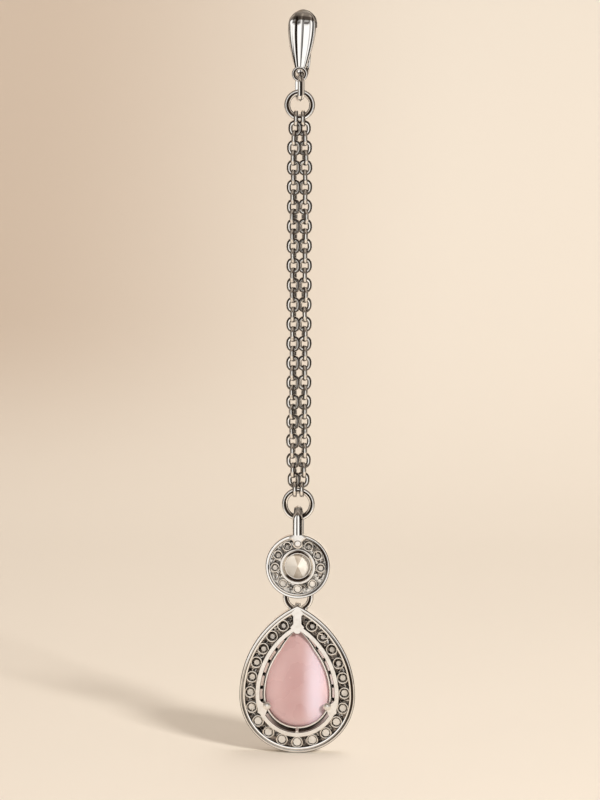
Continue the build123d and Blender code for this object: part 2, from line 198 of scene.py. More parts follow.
class PearLine:
    """A pear: half a circle below its widest line, and two arcs that meet at the tip above."""

    def __init__(self, half, rise):
        self.half = half
        self.side = (half**2 + rise**2) / (2 * half)
        self.bowl_length = half * pi / 2
        self.flank_length = self.side * acos((self.side - half) / self.side)

    def length(self):
        """The whole way round."""
        return 2 * (self.bowl_length + self.flank_length)

    def point(self, share, inset=0.0):
        """The point at that share of the way round from the lowest point, moved inward."""
        away = share if share <= 0.5 else 1 - share
        side = 1 if share <= 0.5 else -1
        bowl = self.half - inset
        flank = self.side - inset
        length = away * self.length()
        if length <= self.bowl_length:
            turn = length / self.half
            return side * bowl * sin(turn), -bowl * cos(turn)
        tip_turn = acos((self.side - self.half) / flank)
        turn = (length - self.bowl_length) / self.flank_length * tip_turn
        return side * (self.half - self.side + flank * cos(turn)), flank * sin(turn)

    def rings(self, section, count):
        """Rings for a section of (inset, y) carried round the pear."""
        rings = []
        for inset, y in section:
            line = [self.point(n / count, inset) for n in range(count)]
            rings.append([(x, y, PEAR_Z + z) for x, z in line])
        return rings


def carried(section, route, closed=False, marks=()):
    """Rings for a section of (side, up) carried along a route of (place, side axis, up axis)."""
    rings = [[place + side * a + up * b for a, b in section] for place, side, up in route]
    return skin(rings, closed, point_marks=marks)


def oval(half_a, half_b, count):
    turns = [2 * pi * n / count for n in range(count)]
    return [(half_a * cos(turn), half_b * sin(turn)) for turn in turns]


WIRE_FACE = (
    (-1, 0), (-0.98, 0.2), (-0.93, 0.4), (-0.84, 0.56), (-0.6, 0.72), (-0.4, 0.82), (-0.27, 0.86),
    (-0.2, 0.87), (-0.05, 0.87), (0.08, 0.88), (0.13, 0.885), (0.42, 0.88), (0.68, 0.85),
    (0.82, 0.74), (0.92, 0.54), (0.98, 0.26), (1, 0),
)


def ring_wire(half_wire):
    """Drawn wire with a soft ridge toward the inside of the ring, the same fore and aft."""
    face = [(a * half_wire, -b * half_wire) for a, b in WIRE_FACE]
    return face + [(a, -b) for a, b in reversed(face[1:-1])]


def wire_marks(half_wire):
    """A painted dark reflection line beside the wire's ridge, and painted shade on the edges."""
    lines = ((-0.12, 0.27, 1.0), (-0.98, 0.12, 0.95), (0.98, 0.12, 0.95))
    return [near_lines(a / half_wire, lines) for a, b in ring_wire(half_wire)]


MARKED_DEPTH = 0.5  # how far from its back a rail is marked


def rail_marks(section, edges, groove, strengths):
    """Painted shade on a rail's back edges all round, and a painted dark reflection in its groove,
    more or less at each place round it.
    """
    back = min(y for across, y in section)
    return [
        max(near_lines(across, edges), near_lines(across, groove) * strength)
        * max(0.0, 1 - (y - back) / MARKED_DEPTH)
        for across, y in section
        for strength in strengths
    ]


def marked_rail(name, section, rings, edges, groove, strengths, finish, body, replaces=()):
    """A rail carried round in rings, with painted shade on its edges and in its groove."""
    shape, faces = skin(rings)[:2]
    marks = rail_marks(section, edges, groove, strengths)
    return piece(name, [(shape, faces, marks)], finish, body, replaces=replaces)


def hump(value, middle, reach):
    """1 at the middle, falling off smoothly to nothing."""
    return exp(-(((value - middle) / reach) ** 2))


def wire_circle(centre, radius, half_wire, count):
    """A closed ring of round wire, its axis fore and aft."""
    route = []
    for n in range(count):
        turn = 2 * pi * n / count
        out = Vector((sin(turn), 0, cos(turn)))
        route.append((Vector(centre) + out * radius, out, Vector((0, 1, 0))))
    return carried(ring_wire(half_wire), route, True, wire_marks(half_wire))


def ball(centre, sizes, rows, around):
    """A smooth ball or egg of that half size along each axis, closed at both poles."""
    x, y, z = centre
    wide, deep, high = sizes
    points = [(x, y - deep, z)]
    for tilt in [pi * row / rows for row in range(1, rows)]:
        level = y - deep * cos(tilt)
        for turn in [2 * pi * n / around for n in range(around)]:
            points.append(
                (x + wide * sin(tilt) * cos(turn), level, z + high * sin(tilt) * sin(turn))
            )
    points.append((x, y + deep, z))
    last = len(points) - 1
    faces = []
    for n in range(around):
        step = (n + 1) % around
        faces.append((0, 1 + step, 1 + n))
        for row in range(rows - 2):
            low = 1 + row * around
            faces.append((low + n, low + step, low + around + step, low + around + n))
        faces.append((last - around + n, last - around + step, last))
    return points, faces


# ---- finishes -------------------------------------------------------------------------------
def fresh_tree(name, inputs, outputs):
    """An empty shader node group with named inputs (name, value) and named outputs (name, kind)."""
    tree = bpy.data.node_groups.new(name, "ShaderNodeTree")
    for label, value in inputs:
        kind = "NodeSocketColor" if isinstance(value, tuple) else "NodeSocketFloat"
        socket = tree.interface.new_socket(name=label, in_out="INPUT", socket_type=kind)
        socket.default_value = value
    for label, kind in outputs:
        tree.interface.new_socket(name=label, in_out="OUTPUT", socket_type=kind)
    return tree, tree.nodes.new("NodeGroupInput"), tree.nodes.new("NodeGroupOutput")


def fit(tree, node, values):
    """Gives a node's inputs, by label or number, their numbers, colours or links."""
    for label, value in dict(values).items():
        socket = node.inputs[label]
        if isinstance(value, bpy.types.NodeSocket):
            tree.links.new(value, socket)
        elif socket.type == "RGBA":
            socket.default_value = (*value[:3], 1.0)
        else:
            socket.default_value = value


def added(tree, kind, values=(), **settings):
    """A new node with its settings, and with its inputs fitted."""
    node = tree.nodes.new(kind)
    for setting_name, value in settings.items():
        setattr(node, setting_name, value)
    fit(tree, node, values)
    return node


def object_place(tree):
    return added(tree, "ShaderNodeTexCoord").outputs["Object"]


def split(tree, vector):
    return added(tree, "ShaderNodeSeparateXYZ", {0: vector}).outputs


def noise(tree, vector, scale, detail=3.0, rough=0.5):
    values = {"Vector": vector, "Scale": scale, "Detail": detail, "Roughness": rough}
    return added(tree, "ShaderNodeTexNoise", values).outputs["Fac"]


def maths(tree, operation, *values):
    return added(tree, "ShaderNodeMath", enumerate(values), operation=operation).outputs[0]


def spread(tree, value, low, high, to_low=0.0, to_high=1.0, kind="SMOOTHSTEP"):
    values = {"Value": value, "From Min": low, "From Max": high, "To Min": to_low, "To Max": to_high}
    return added(tree, "ShaderNodeMapRange", values, interpolation_type=kind).outputs["Result"]


def blended(tree, share, first, second):
    values = {0: share, 6: first, 7: second}
    return added(tree, "ShaderNodeMix", values, data_type="RGBA").outputs[2]


def bump(tree, height, depth):
    """A normal from a height, depth in millimetres."""
    values = {"Height": height, "Distance": depth * MM, "Strength": 1.0}
    return added(tree, "ShaderNodeBump", values).outputs["Normal"]


def polish_group():
    """Buffed metal: fine hairlines, a faint cloud in the polish, a dull film that gathers, and
    painted shade where the mesh is marked.
    """
    tree, given, result = fresh_tree(
        "buffed surface",
        [
            ("Bright", (0.9, 0.89, 0.87, 1.0)),
            ("Dull", (0.6, 0.56, 0.5, 1.0)),
            ("Painted Shade", (0.05, 0.035, 0.025, 1.0)),
            ("Film", 0.2),
            ("Smooth", 0.06),
            ("Rough", 0.14),
            ("Grain Size", 900.0),
            ("Ripple Size", 260.0),
        ],
        [
            ("Colour", "NodeSocketColor"),
            ("Roughness", "NodeSocketFloat"),
            ("Height", "NodeSocketFloat"),
        ],
    )
    place = object_place(tree)
    cloud = noise(tree, place, given.outputs["Ripple Size"], 2.0)
    grain = noise(tree, place, given.outputs["Grain Size"], 4.0, 0.65)
    fine = noise(tree, place, 6500.0, 1.0)
    darkening = maths(tree, "MULTIPLY", spread(tree, grain, 0.45, 0.72), given.outputs["Film"])
    colour = blended(tree, darkening, given.outputs["Bright"], given.outputs["Dull"])
    # the marks are painted shade: as they rise the colour goes toward the near-black painted shade
    # colour
    mark = added(tree, "ShaderNodeAttribute", attribute_name="painted_shade").outputs["Fac"]
    unshaded = maths(tree, "POWER", maths(tree, "SUBTRACT", 1.0, mark), 2.2)
    smooth, rough = given.outputs["Smooth"], given.outputs["Rough"]
    surface = {
        "Colour": blended(tree, unshaded, given.outputs["Painted Shade"], colour),
        "Roughness": spread(tree, grain, 0.3, 0.75, smooth, rough, "LINEAR"),
        "Height": maths(tree, "MULTIPLY_ADD", fine, 0.12, cloud),
    }
    fit(tree, result, surface)
    return tree


buffed_surface = polish_group()


def new_finish(name):
    material = bpy.data.materials.new(name)
    material.use_nodes = True
    tree = material.node_tree
    return material, tree, tree.nodes["Principled BSDF"]


# near-black brown for the painted dark reflection lines and painted shade on the metal
PAINTED_SHADE_COLOUR = (0.03, 0.02, 0.013)


def metal_finish(name, bright, dull, darkening, smooth, rough, grain, ripple, depth):
    """A white metal finish; depth is how far the polish undulates, in millimetres."""
    material, tree, shader = new_finish(name)
    values = {
        "Bright": bright, "Dull": dull, "Painted Shade": PAINTED_SHADE_COLOUR, "Film": darkening,
        "Smooth": smooth, "Rough": rough, "Grain Size": grain, "Ripple Size": ripple,
    }
    surface = added(tree, "ShaderNodeGroup", values, node_tree=buffed_surface).outputs
    looks = {
        "Base Color": surface["Colour"],
        "Metallic": 1.0,
        "Roughness": surface["Roughness"],
        "Normal": bump(tree, surface["Height"], depth),
    }
    fit(tree, shader, looks)
    return material


high_polish = metal_finish(
    "high polish", (0.96, 0.95, 0.935), (0.8, 0.77, 0.73), 0.25, 0.05, 0.1, 700.0, 300.0, 0.012
)
satin_flat = metal_finish(
    "satin flat", (0.96, 0.945, 0.925), (0.84, 0.81, 0.77), 0.5, 0.3, 0.4, 900.0, 420.0, 0.01
)
chain_metal = metal_finish(
    "chain polish", (0.98, 0.96, 0.93), (0.2, 0.15, 0.11), 0.4, 0.06, 0.2, 1500.0, 500.0, 0.012
)
cup_metal = metal_finish(
    "cup wall", (0.84, 0.81, 0.77), (0.4, 0.35, 0.29), 0.7, 0.1, 0.24, 1300.0, 700.0, 0.02
)
# The floors between the cups are dark and mottled at random; their darkness is painted shade of the
# deep pockets.
plate_metal = metal_finish(
    "cast plate", (0.92, 0.87, 0.8), (0.06, 0.042, 0.03), 0.9, 0.14, 0.32, 1500.0, 1300.0, 0.1
)
pit_metal = metal_finish(
    "shaded pit floor", (0.3, 0.25, 0.21), (0.02, 0.014, 0.01), 0.95, 0.12, 0.3, 1800.0, 1500.0, 0.12
)


def well_metal_finish():
    """Bright at the sides of the well, with painted shade toward its top and foot."""
    material, tree, shader = new_finish("bezel well")
    place = object_place(tree)
    drop = maths(tree, "ABSOLUTE", maths(tree, "SUBTRACT", split(tree, place)["Z"], HALO_Z * MM))
    uneven = noise(tree, place, 900.0, 2.0)
    # painted shade: the further from the middle height, the darker, with an uneven edge
    dark = spread(tree, maths(tree, "MULTIPLY_ADD", uneven, 0.6 * MM, drop), 1.7 * MM, 2.3 * MM)
    looks = {
        "Base Color": blended(tree, dark, (0.72, 0.68, 0.62), (0.05, 0.035, 0.028)),
        "Metallic": 1.0,
        "Roughness": spread(tree, uneven, 0.2, 0.8, 0.12, 0.24),
        "Normal": bump(tree, uneven, 0.01),
    }
    fit(tree, shader, looks)
    return material


well_finish = well_metal_finish()


def stone_finish(name, colour, shade_colour, sparkle, roughness, glow):
    """Clear or milky cut stone; its facets get painted shade through the facet attribute."""
    material, tree, shader = new_finish(name)
    facet = added(tree, "ShaderNodeAttribute", attribute_name="facet").outputs["Fac"]
    mist = noise(tree, object_place(tree), 900.0, 2.0)
    tint = blended(tree, facet, colour, shade_colour)
    looks = {
        "Base Color": blended(
            tree, spread(tree, mist, 0.35, 0.75, 0.0, sparkle), tint, (1.0, 0.98, 0.95)
        ),
        "Roughness": spread(tree, mist, 0.2, 0.8, roughness, roughness * 2.5),
        "Transmission Weight": glow,
        "IOR": 1.76,
        "Specular IOR Level": 0.6,
    }
    fit(tree, shader, looks)
    return material


# the second colours are the painted shade of the facets
round_finish = stone_finish(
    "clear round stone", (0.95, 0.91, 0.85), (0.5, 0.42, 0.33), 0.25, 0.04, 0.1
)
small_finish = stone_finish(
    "clear small stone", (0.86, 0.81, 0.74), (0.1, 0.07, 0.045), 0.3, 0.05, 0.2
)


def pink_finish():
    """Pearly pink glass: a painted dark reflection band down the middle, a soft lengthwise lilac
    painted highlight band to its right, a deeper pink painted reflection at the right edge, darker
    toward the tip, lighter toward the foot, and a faint random cloud.
    """
    material, tree, shader = new_finish("pearly pink")
    values = {
        "Vector": object_place(tree), "Location": (0, 0, PEAR_Z * MM), "Scale": (MM, MM, MM)
    }
    place = added(tree, "ShaderNodeMapping", values, vector_type="TEXTURE").outputs["Vector"]
    parts = split(tree, place)
    sway = noise(tree, place, 0.16, 2.0)
    across = maths(tree, "ADD", parts["X"], maths(tree, "MULTIPLY_ADD", sway, 1.6, -0.8))
    upper = maths(tree, "MULTIPLY", spread(tree, parts["Z"], 1.0, 11.5), 0.45)
    lower = maths(tree, "MULTIPLY", spread(tree, parts["Z"], -1.5, -6.5), 0.5)
    mist = noise(tree, place, 0.28, 2.0, 0.4)
    colour = (0.6, 0.4, 0.405)
    # a painted dark reflection down the middle, a lilac painted highlight band right of it, a deeper
    # painted reflection at the right edge, then darker toward the tip, lighter toward the foot, and a
    # faint random cloud
    for share, tint in (
        (spread(tree, across, -5.6, -0.6), (0.46, 0.275, 0.28)),
        (spread(tree, across, 0.4, 3.4), (0.7, 0.585, 0.68)),
        (spread(tree, across, 3.9, 5.9), (0.7, 0.5, 0.53)),
        (upper, (0.52, 0.33, 0.32)),
        (lower, (0.68, 0.48, 0.48)),
        (spread(tree, mist, 0.3, 0.9, 0.0, 0.16), (0.74, 0.58, 0.59)),
    ):
        colour = blended(tree, share, colour, tint)
    looks = {
        "Base Color": colour,
        "Roughness": spread(tree, mist, 0.2, 0.8, 0.22, 0.34),
        "IOR": 1.54,
        "Coat Weight": 0.6,
        "Coat Roughness": 0.22,
        "Subsurface Weight": 0.15,
        "Subsurface Radius": (1.2 * MM, 0.6 * MM, 0.6 * MM),
        "Subsurface Scale": 1.0,
        "Normal": bump(tree, mist, 0.01),
    }
    fit(tree, shader, looks)
    return material


pink_glass = pink_finish()


# ---- hair hook ------------------------------------------------------------------------------
EYE_Z = hook_low.z + 1.6
EYE_RADIUS = 1.12
LEAN = radians(3.4)
BEND = 2.1
BEND_Z = -1.98
NECK_Z = EYE_Z + 1.32
LEAF_HALF = 2.62
WIDEST_Z = -3.1
CROWN_RISE = 3.42
NECK_HALF = 1.1
LEAF_DROP = 7.4
TONGUE_TIP_Z = -12.3
TONGUE_TIP_RADIUS = 1.3
TONGUE_BOW = 90.0  # the far limb is an arc of this radius
TONGUE_ARC = 10.3  # and of this length
TONGUE_ASIDE = 0.42


def leaf_half_width(z):
    """Half the leaf's width at a height, from the crown of the bend down to the neck."""
    if z > WIDEST_Z:
        return LEAF_HALF * sqrt(max(0.0, 1 - ((z - WIDEST_Z) / CROWN_RISE) ** 3))
    drop = min(WIDEST_Z - z, LEAF_DROP)
    return NECK_HALF + (LEAF_HALF - NECK_HALF) * (1 - (drop / LEAF_DROP) ** 1.55)


def tongue_half_width(z):
    """Half the plain limb's width on the far side, down to its rounded tip."""
    if z > WIDEST_Z:
        return leaf_half_width(z)
    width = leaf_half_width(z) + 0.06 * min(1.0, WIDEST_Z - z)
    past = max(0.0, TONGUE_TIP_Z + TONGUE_TIP_RADIUS - z)
    return min(width, sqrt(max(0.0, TONGUE_TIP_RADIUS**2 - past**2)) + 0.02)


HOOK_SAMPLES = (
    -1, -0.985, -0.95, -0.92, -0.88, -0.78, -0.66, -0.55, -0.49, -0.45, -0.41, -0.35, -0.25, -0.14,
    -0.06, 0.01, 0.05, 0.09, 0.16, 0.24, 0.4, 0.52, 0.58, 0.64, 0.72, 0.77, 0.8, 0.83, 0.88, 0.92,
    0.95, 0.985, 1,
)
HOOK_FLUTES = (
    (-0.78, 0.1, 0.03), (-0.45, 0.1, 0.06), (0.05, 0.1, 0.05), (0.58, 0.07, 0.03), (0.8, 0.09, 0.05),
)
# painted dark reflection lines along the flutes and edges: (place across, half width, darkness)
HOOK_LINES = (
    (-1.0, 0.05, 1.0), (-0.45, 0.045, 0.95), (0.05, 0.045, 0.5), (0.58, 0.01, 0.4),
    (0.8, 0.035, 0.75), (1.0, 0.05, 1.0),
)
# painted shade lobes over the crown of the bend: (middle across, half width, foot height, darkness)
CROWN_SHADE_LOBES = ((-0.42, 0.36, -2.35, 0.5), (0.3, 0.32, -2.2, 0.36))


def crown_painted_shade(u, z):
    """Painted shade over the crown of the bend, hanging down in two lobes with darker feet."""
    tone = 0.12 * clip((z + 1.4) / 0.5)
    for middle, reach, low, depth in CROWN_SHADE_LOBES:
        foot = low + 3.2 * (u - middle) ** 2
        side = clip(3 * (1 - abs(u - middle) / reach))
        body = clip((z - foot) / 0.25) * clip((-0.3 - z) / 0.5)
        tone = max(tone, side * body * depth, 0.85 * side * hump(z, foot + 0.22, 0.2))
    return tone


def hook_route():
    """Places and outward directions up the leaf and over the bend, then down the far limb."""
    slope = asin(BEND / (BEND_Z - NECK_Z))
    start = Vector((0, -BEND * cos(slope), BEND_Z - BEND * sin(slope)))
    foot = Vector((0, 0, NECK_Z))
    rows, turns, far_rows = 30, 28, 24
    near = []
    for n in range(rows):
        near.append((foot.lerp(start, n / rows), Vector((0, -cos(slope), -sin(slope)))))
    for n in range(turns + 1):
        turn = -slope + (pi + slope) * n / turns
        out = Vector((0, -cos(turn), sin(turn)))
        near.append((Vector((0, 0, BEND_Z)) + out * BEND, out))
    far = []
    for n in range(1, far_rows + 1):
        turn = TONGUE_ARC / TONGUE_BOW * n / far_rows
        y = BEND + TONGUE_BOW - TONGUE_BOW * cos(turn)
        place = Vector((0, y, BEND_Z - TONGUE_BOW * sin(turn)))
        far.append((place, Vector((0, cos(turn), sin(turn)))))
    return near, far


def band_ring(place, out, half, aside=0.0, fluted=0.0):
    """The hook's section: the crowned outer face with its flutes, then back along the flat inner."""
    ring = []
    for u in HOOK_SAMPLES:
        swell = 0.4 - 0.12 * u * u - 0.26 * abs(u) ** 24
        for middle, reach, depth in HOOK_FLUTES:
            swell -= depth * fluted * max(0.0, 1 - abs(u - middle) / reach)
        ring.append(place + Vector((u * half + aside, 0, 0)) + out * swell)
    for u in reversed(HOOK_SAMPLES):
        ring.append(place + Vector((u * half * 0.97 + aside, 0, 0)) - out * 0.38)
    return ring


def leaf_ring(place, out):
    half = max(leaf_half_width(place.z + out.z * 0.15), 0.12)
    return band_ring(place, out, half, 0.0, min(1.0, half / 2.2) * clip(1.3 - 2 * out.z))


def tongue_ring(place, out):
    """The far limb is plain and moves a little to the side as it goes down."""
    half = max(tongue_half_width(place.z), 0.12)
    return band_ring(place, out, half, TONGUE_ASIDE * clip((-3.2 - place.z) / 4.5))


def hook_marks(route):
    """Painted dark reflection lines along the flutes and edges, and painted shade over the crown."""
    marks = []
    for place, out in route:
        near_side = out.y < 0.2
        # the painted lines fade out over the top of the bend
        shade_weight = clip(1.6 - 2 * out.z)
        lines = [near_lines(u, HOOK_LINES) * (1.0 if abs(u) > 0.9 else shade_weight) for u in HOOK_SAMPLES]
        crown_shades = [crown_painted_shade(u, place.z) if near_side else 0.0 for u in HOOK_SAMPLES]
        # painted shade right over the top of the bend
        top_shade = 0.9 * min(1.0, (out.z - 0.86) / 0.1)
        marks += [max(line, darkening, top_shade) for line, darkening in zip(lines, crown_shades)]
        inner_share = 0.4 if near_side else 1.0
        marks += [max(line * inner_share, top_shade) for line in reversed(lines)]
    return marks


def hook_mesh():
    """The flat band bent over: fluted leaf limb behind, plain limb on the far side."""
    near, far = hook_route()
    rings = [leaf_ring(*spot) for spot in near] + [tongue_ring(*spot) for spot in far]
    band = (*skin(rings, closed=False)[:2], hook_marks(near + far))
    eye = wire_circle((0, -0.12, EYE_Z + 0.08), EYE_RADIUS, 0.4, 64)
    collar = ball((0, -0.1, NECK_Z - 0.1), (0.5, 0.36, 0.34), 8, 20)
    bead = ball((-2.0, -0.75, -6.6), (0.22, 0.3, 0.4), 6, 12)
    made = closed_mesh("leaf_hook", [band, eye, collar, bead], 40)
    turn = Matrix.Rotation(LEAN, 4, "Y")
    shift = Matrix.Translation(Vector((0, 0, EYE_Z)) * MM)
    made.transform(shift @ turn @ shift.inverted())
    return made


set_piece("leaf_hook", hook_mesh(), high_polish, "hook", "white_metal", ["hook"])


# ---- band link and wire rings ---------------------------------------------------------------
LINK_TURN = radians(15)
LINK_BEND = 1.15  # the strap's middle line at the link's two ends
LINK_FACE = 0.45
LINK_BACK = 0.12
LINK_HALF_WIDTH = 0.66
# painted dark reflection lines across the strap: (place across, half width, darkness)
LINK_LINES = ((-0.02, 0.045, 0.7), (0.8, 0.09, 0.9), (-0.8, 0.09, 0.9))


def stadium(radius, straight, centre_z, turn, count):
    """A standing oval route edge-on to the ornament, for an oval link."""
    ahead = Vector((-sin(turn), cos(turn), 0))
    side = Vector((cos(turn), sin(turn), 0))
    route = []
    for half in (1, -1):
        middle = Vector((0, 0, centre_z + half * straight / 2))
        for n in range(count + 1):
            angle = pi * n / count + (0 if half > 0 else pi)
            out = ahead * cos(angle) + Vector((0, 0, sin(angle)))
            route.append((middle + out * radius, out, side))
    return route


def band_link_mesh():
    """A strap bent into an oval link, its two legs turned back to face fore and aft."""
    strap = []
    for a, b in oval(1, 1, 28):
        thick = copysign(abs(a) ** 0.4, a) * (LINK_FACE if a > 0 else LINK_BACK)
        strap.append((thick, LINK_HALF_WIDTH * copysign(abs(b) ** 0.8, b)))
    rings = []
    middle = (link_low.z + link_high.z) / 2
    straight = link_high.z - link_low.z - 2 * LINK_BEND - 2 * LINK_FACE
    for place, out, side in stadium(LINK_BEND, straight, middle, LINK_TURN, 20):
        level = hypot(out.x, out.y)
        turn = LINK_TURN * 0.85 * level
        ahead = out * cos(turn) + side * sin(turn)
        beside = side * cos(turn) - out * sin(turn)
        rings.append([place + ahead * a + beside * b * (0.6 + 0.4 * level) for a, b in strap])
    shape = skin(rings, True, point_marks=[near_lines(b, LINK_LINES) for a, b in strap])
    return closed_mesh("band_link", [shape])


set_piece("band_link", band_link_mesh(), high_polish, "hook", "white_metal", ["hook_link"])


def ring_piece(name, low, high, body, node):
    half_wire = (high.y - low.y) / 2
    ring = wire_circle((low + high) / 2, high.x - half_wire, half_wire, 112)
    return piece(name, [ring], high_polish, body, replaces=[node])


ring_piece("upper_ring", top_ring_low, top_ring_high, "chains", "top_ring")
ring_piece("lower_ring", low_ring_low, low_ring_high, "low_ring", "low_ring")


# ---- cable chains ---------------------------------------------------------------------------
class Tree:
    """A geometry node tree with named inputs, built node by node."""

    def __init__(self, name, inputs):
        self.tree = bpy.data.node_groups.new(name, "GeometryNodeTree")
        face = self.tree.interface
        face.new_socket(name="Geometry", in_out="INPUT", socket_type="NodeSocketGeometry")
        for label, value in inputs:
            kind = {int: "NodeSocketInt", float: "NodeSocketFloat"}.get(type(value))
            socket = face.new_socket(
                name=label, in_out="INPUT", socket_type=kind or "NodeSocketMaterial"
            )
            if kind:
                socket.default_value = value
        face.new_socket(name="Geometry", in_out="OUTPUT", socket_type="NodeSocketGeometry")
        self.given = self.tree.nodes.new("NodeGroupInput").outputs
        self.result = self.tree.nodes.new("NodeGroupOutput")

    def node(self, kind, values=(), **settings):
        """Adds a node and gives its first output."""
        return added(self.tree, kind, values, **settings).outputs[0]

    def maths(self, operation, *values):
        return maths(self.tree, operation, *values)

    def times(self, first, second):
        return self.maths("MULTIPLY", first, second)

    def vectors(self, operation, first, second):
        values = {0: first, 1: second}
        return added(self.tree, "ShaderNodeVectorMath", values, operation=operation).outputs

    def triple(self, x, y, z):
        return self.node("ShaderNodeCombineXYZ", {0: x, 1: y, 2: z})

    def chance(self, low, high, seed):
        """A random vector for each point."""
        values = {"Min": low, "Max": high, "Seed": seed}
        return self.node("FunctionNodeRandomValue", values, data_type="FLOAT_VECTOR")

    def disc(self, count, radius):
        return self.node(
            "GeometryNodeCurvePrimitiveCircle", {"Resolution": count, "Radius": radius}
        )

    def rounded(self, width, height, radius, count):
        """A rectangle with rounded corners."""
        shape = self.node(
            "GeometryNodeCurvePrimitiveQuadrilateral", {"Width": width, "Height": height}
        )
        values = {"Curve": shape, "Radius": radius, "Count": count}
        return self.node("GeometryNodeFilletCurve", values, mode="POLY")

    def swept(self, line, section, caps=False):
        values = {"Curve": line, "Profile Curve": section, "Fill Caps": caps}
        return self.node("GeometryNodeCurveToMesh", values)

    def turned(self, geometry, turn):
        return self.node("GeometryNodeTransform", {"Geometry": geometry, "Rotation": turn})

    def set_out(self, points, shape, **options):
        """Ends the tree: the shape at each point, as real geometry with its finish."""
        values = {"Points": points, "Instance": shape, **options}
        real = self.node(
            "GeometryNodeRealizeInstances", {0: self.node("GeometryNodeInstanceOnPoints", values)}
        )
        values = {"Geometry": real, "Material": self.given["Finish"]}
        finished = self.node("GeometryNodeSetMaterial", values)
        self.tree.links.new(finished, self.result.inputs[0])
        return self.tree


FACE_AFT = (pi / 2, 0.0, 0.0)


def grown(name, tree, values, points, edges=(), crease=32.0):
    """The tree's result on a line or cloud of points in millimetres, as a plain mesh."""
    start = bpy.data.meshes.new(name + "_start")
    start.from_pydata([Vector(point) * MM for point in points], list(edges), [])
    holder = bpy.data.objects.new(name + "_start", start)
    bpy.context.scene.collection.objects.link(holder)
    modifier = holder.modifiers.new("grow", "NODES")
    modifier.node_group = tree
    sockets = {
        item.name: item.identifier
        for item in tree.interface.items_tree
        if item.in_out == "INPUT"
    }
    for label, value in values.items():
        modifier[sockets[label]] = value
    bpy.context.view_layer.update()
    ready = holder.evaluated_get(bpy.context.evaluated_depsgraph_get())
    mesh = bpy.data.meshes.new_from_object(ready)
    bpy.data.objects.remove(holder)
    bpy.data.meshes.remove(start)
    mesh.shade_smooth()
    mesh.set_sharp_from_angle(angle=radians(crease))
    return mesh


def link_tree():
    """Oval wire links along a line, each a quarter turn on from the last, a little unsettled."""
    t = Tree(
        "chain links",
        [
            ("Links", 41), ("Link Height", 3.2 * MM), ("Link Width", 2.7 * MM), ("Wire", 0.7 * MM),
            ("Lean", 0.1), ("Unrest", 0.2), ("Seed", 1), ("Finish", None),
        ],
    )
    line = t.node("GeometryNodeMeshToCurve", {0: t.given[0]})
    even = t.node("GeometryNodeResampleCurve", {"Curve": line, "Count": t.given["Links"]})
    spots = t.node("GeometryNodeCurveToPoints", {0: even}, mode="EVALUATED")

    width = t.maths("SUBTRACT", t.given["Link Width"], t.given["Wire"])
    height = t.maths("SUBTRACT", t.given["Link Height"], t.given["Wire"])
    wire = t.turned(t.disc(16, t.times(t.given["Wire"], 0.52)), (0.0, 0.0, pi / 16))
    link = t.swept(t.rounded(width, height, t.times(width, 0.495), 4), wire)

    # how far each point of the wire faces away from the link's middle, for its painted dark
    # reflection lines; the inside of each link gets painted shade
    x, y, _ = split(t.tree, t.node("GeometryNodeInputPosition"))
    reach = t.times(t.maths("SUBTRACT", height, width), 0.5)
    level = t.node("ShaderNodeClamp", {"Value": y, "Min": t.times(reach, -1.0), "Max": reach})
    aside = {0: t.triple(x, t.maths("SUBTRACT", y, level), 0.0)}
    away = t.node("ShaderNodeVectorMath", aside, operation="NORMALIZE")
    outward = t.vectors("DOT_PRODUCT", away, t.node("GeometryNodeInputNormal"))["Value"]
    beside = t.maths("ABSOLUTE", t.maths("SUBTRACT", outward, 0.5))
    line = t.maths("SUBTRACT", 1.05, t.times(beside, 2.3))
    inside = t.times(t.maths("LESS_THAN", outward, -0.7), 0.6)
    mark = {"Geometry": link, "Name": "painted_shade", "Value": t.maths("MAXIMUM", line, inside)}
    marked = t.node("GeometryNodeStoreNamedAttribute", mark, data_type="FLOAT", domain="POINT")

    # the two end links stand straight; those between lean and shift a little
    index = t.node("GeometryNodeInputIndex")
    last = t.maths("SUBTRACT", t.given["Links"], 1.5)
    inner = t.times(t.maths("GREATER_THAN", index, 0.5), t.maths("LESS_THAN", index, last))
    odd = t.maths("MODULO", index, 2.0)
    quarter = t.maths("SUBTRACT", pi / 2, t.times(odd, pi / 2))
    lean = t.times(t.given["Lean"], inner)
    unrest = t.times(t.given["Unrest"], inner)
    chance = t.chance((-0.3, -0.3, -1.0), (0.3, 0.3, 1.0), t.given["Seed"])
    scaled = {0: chance, "Scale": unrest}
    unsettled = t.node("ShaderNodeVectorMath", scaled, operation="SCALE")
    turn = t.vectors("ADD", t.triple(0.0, 0.0, t.maths("ADD", quarter, lean)), unsettled)[0]
    return t.set_out(spots, t.turned(marked, FACE_AFT), Rotation=turn)


chain_links = link_tree()
LINKS = 39
LINK_HEIGHT = 3.2
LINK_WIDTH = 2.72
LINK_WIRE = 0.82
CHAIN_ACROSS = 1.06
CHAIN_DEPTH = 0.32
END_ACROSS = 0.67
CHAIN_SHARES = (0.0, 0.045, 0.09, 0.2, 0.5, 0.8, 0.91, 0.955, 1.0)


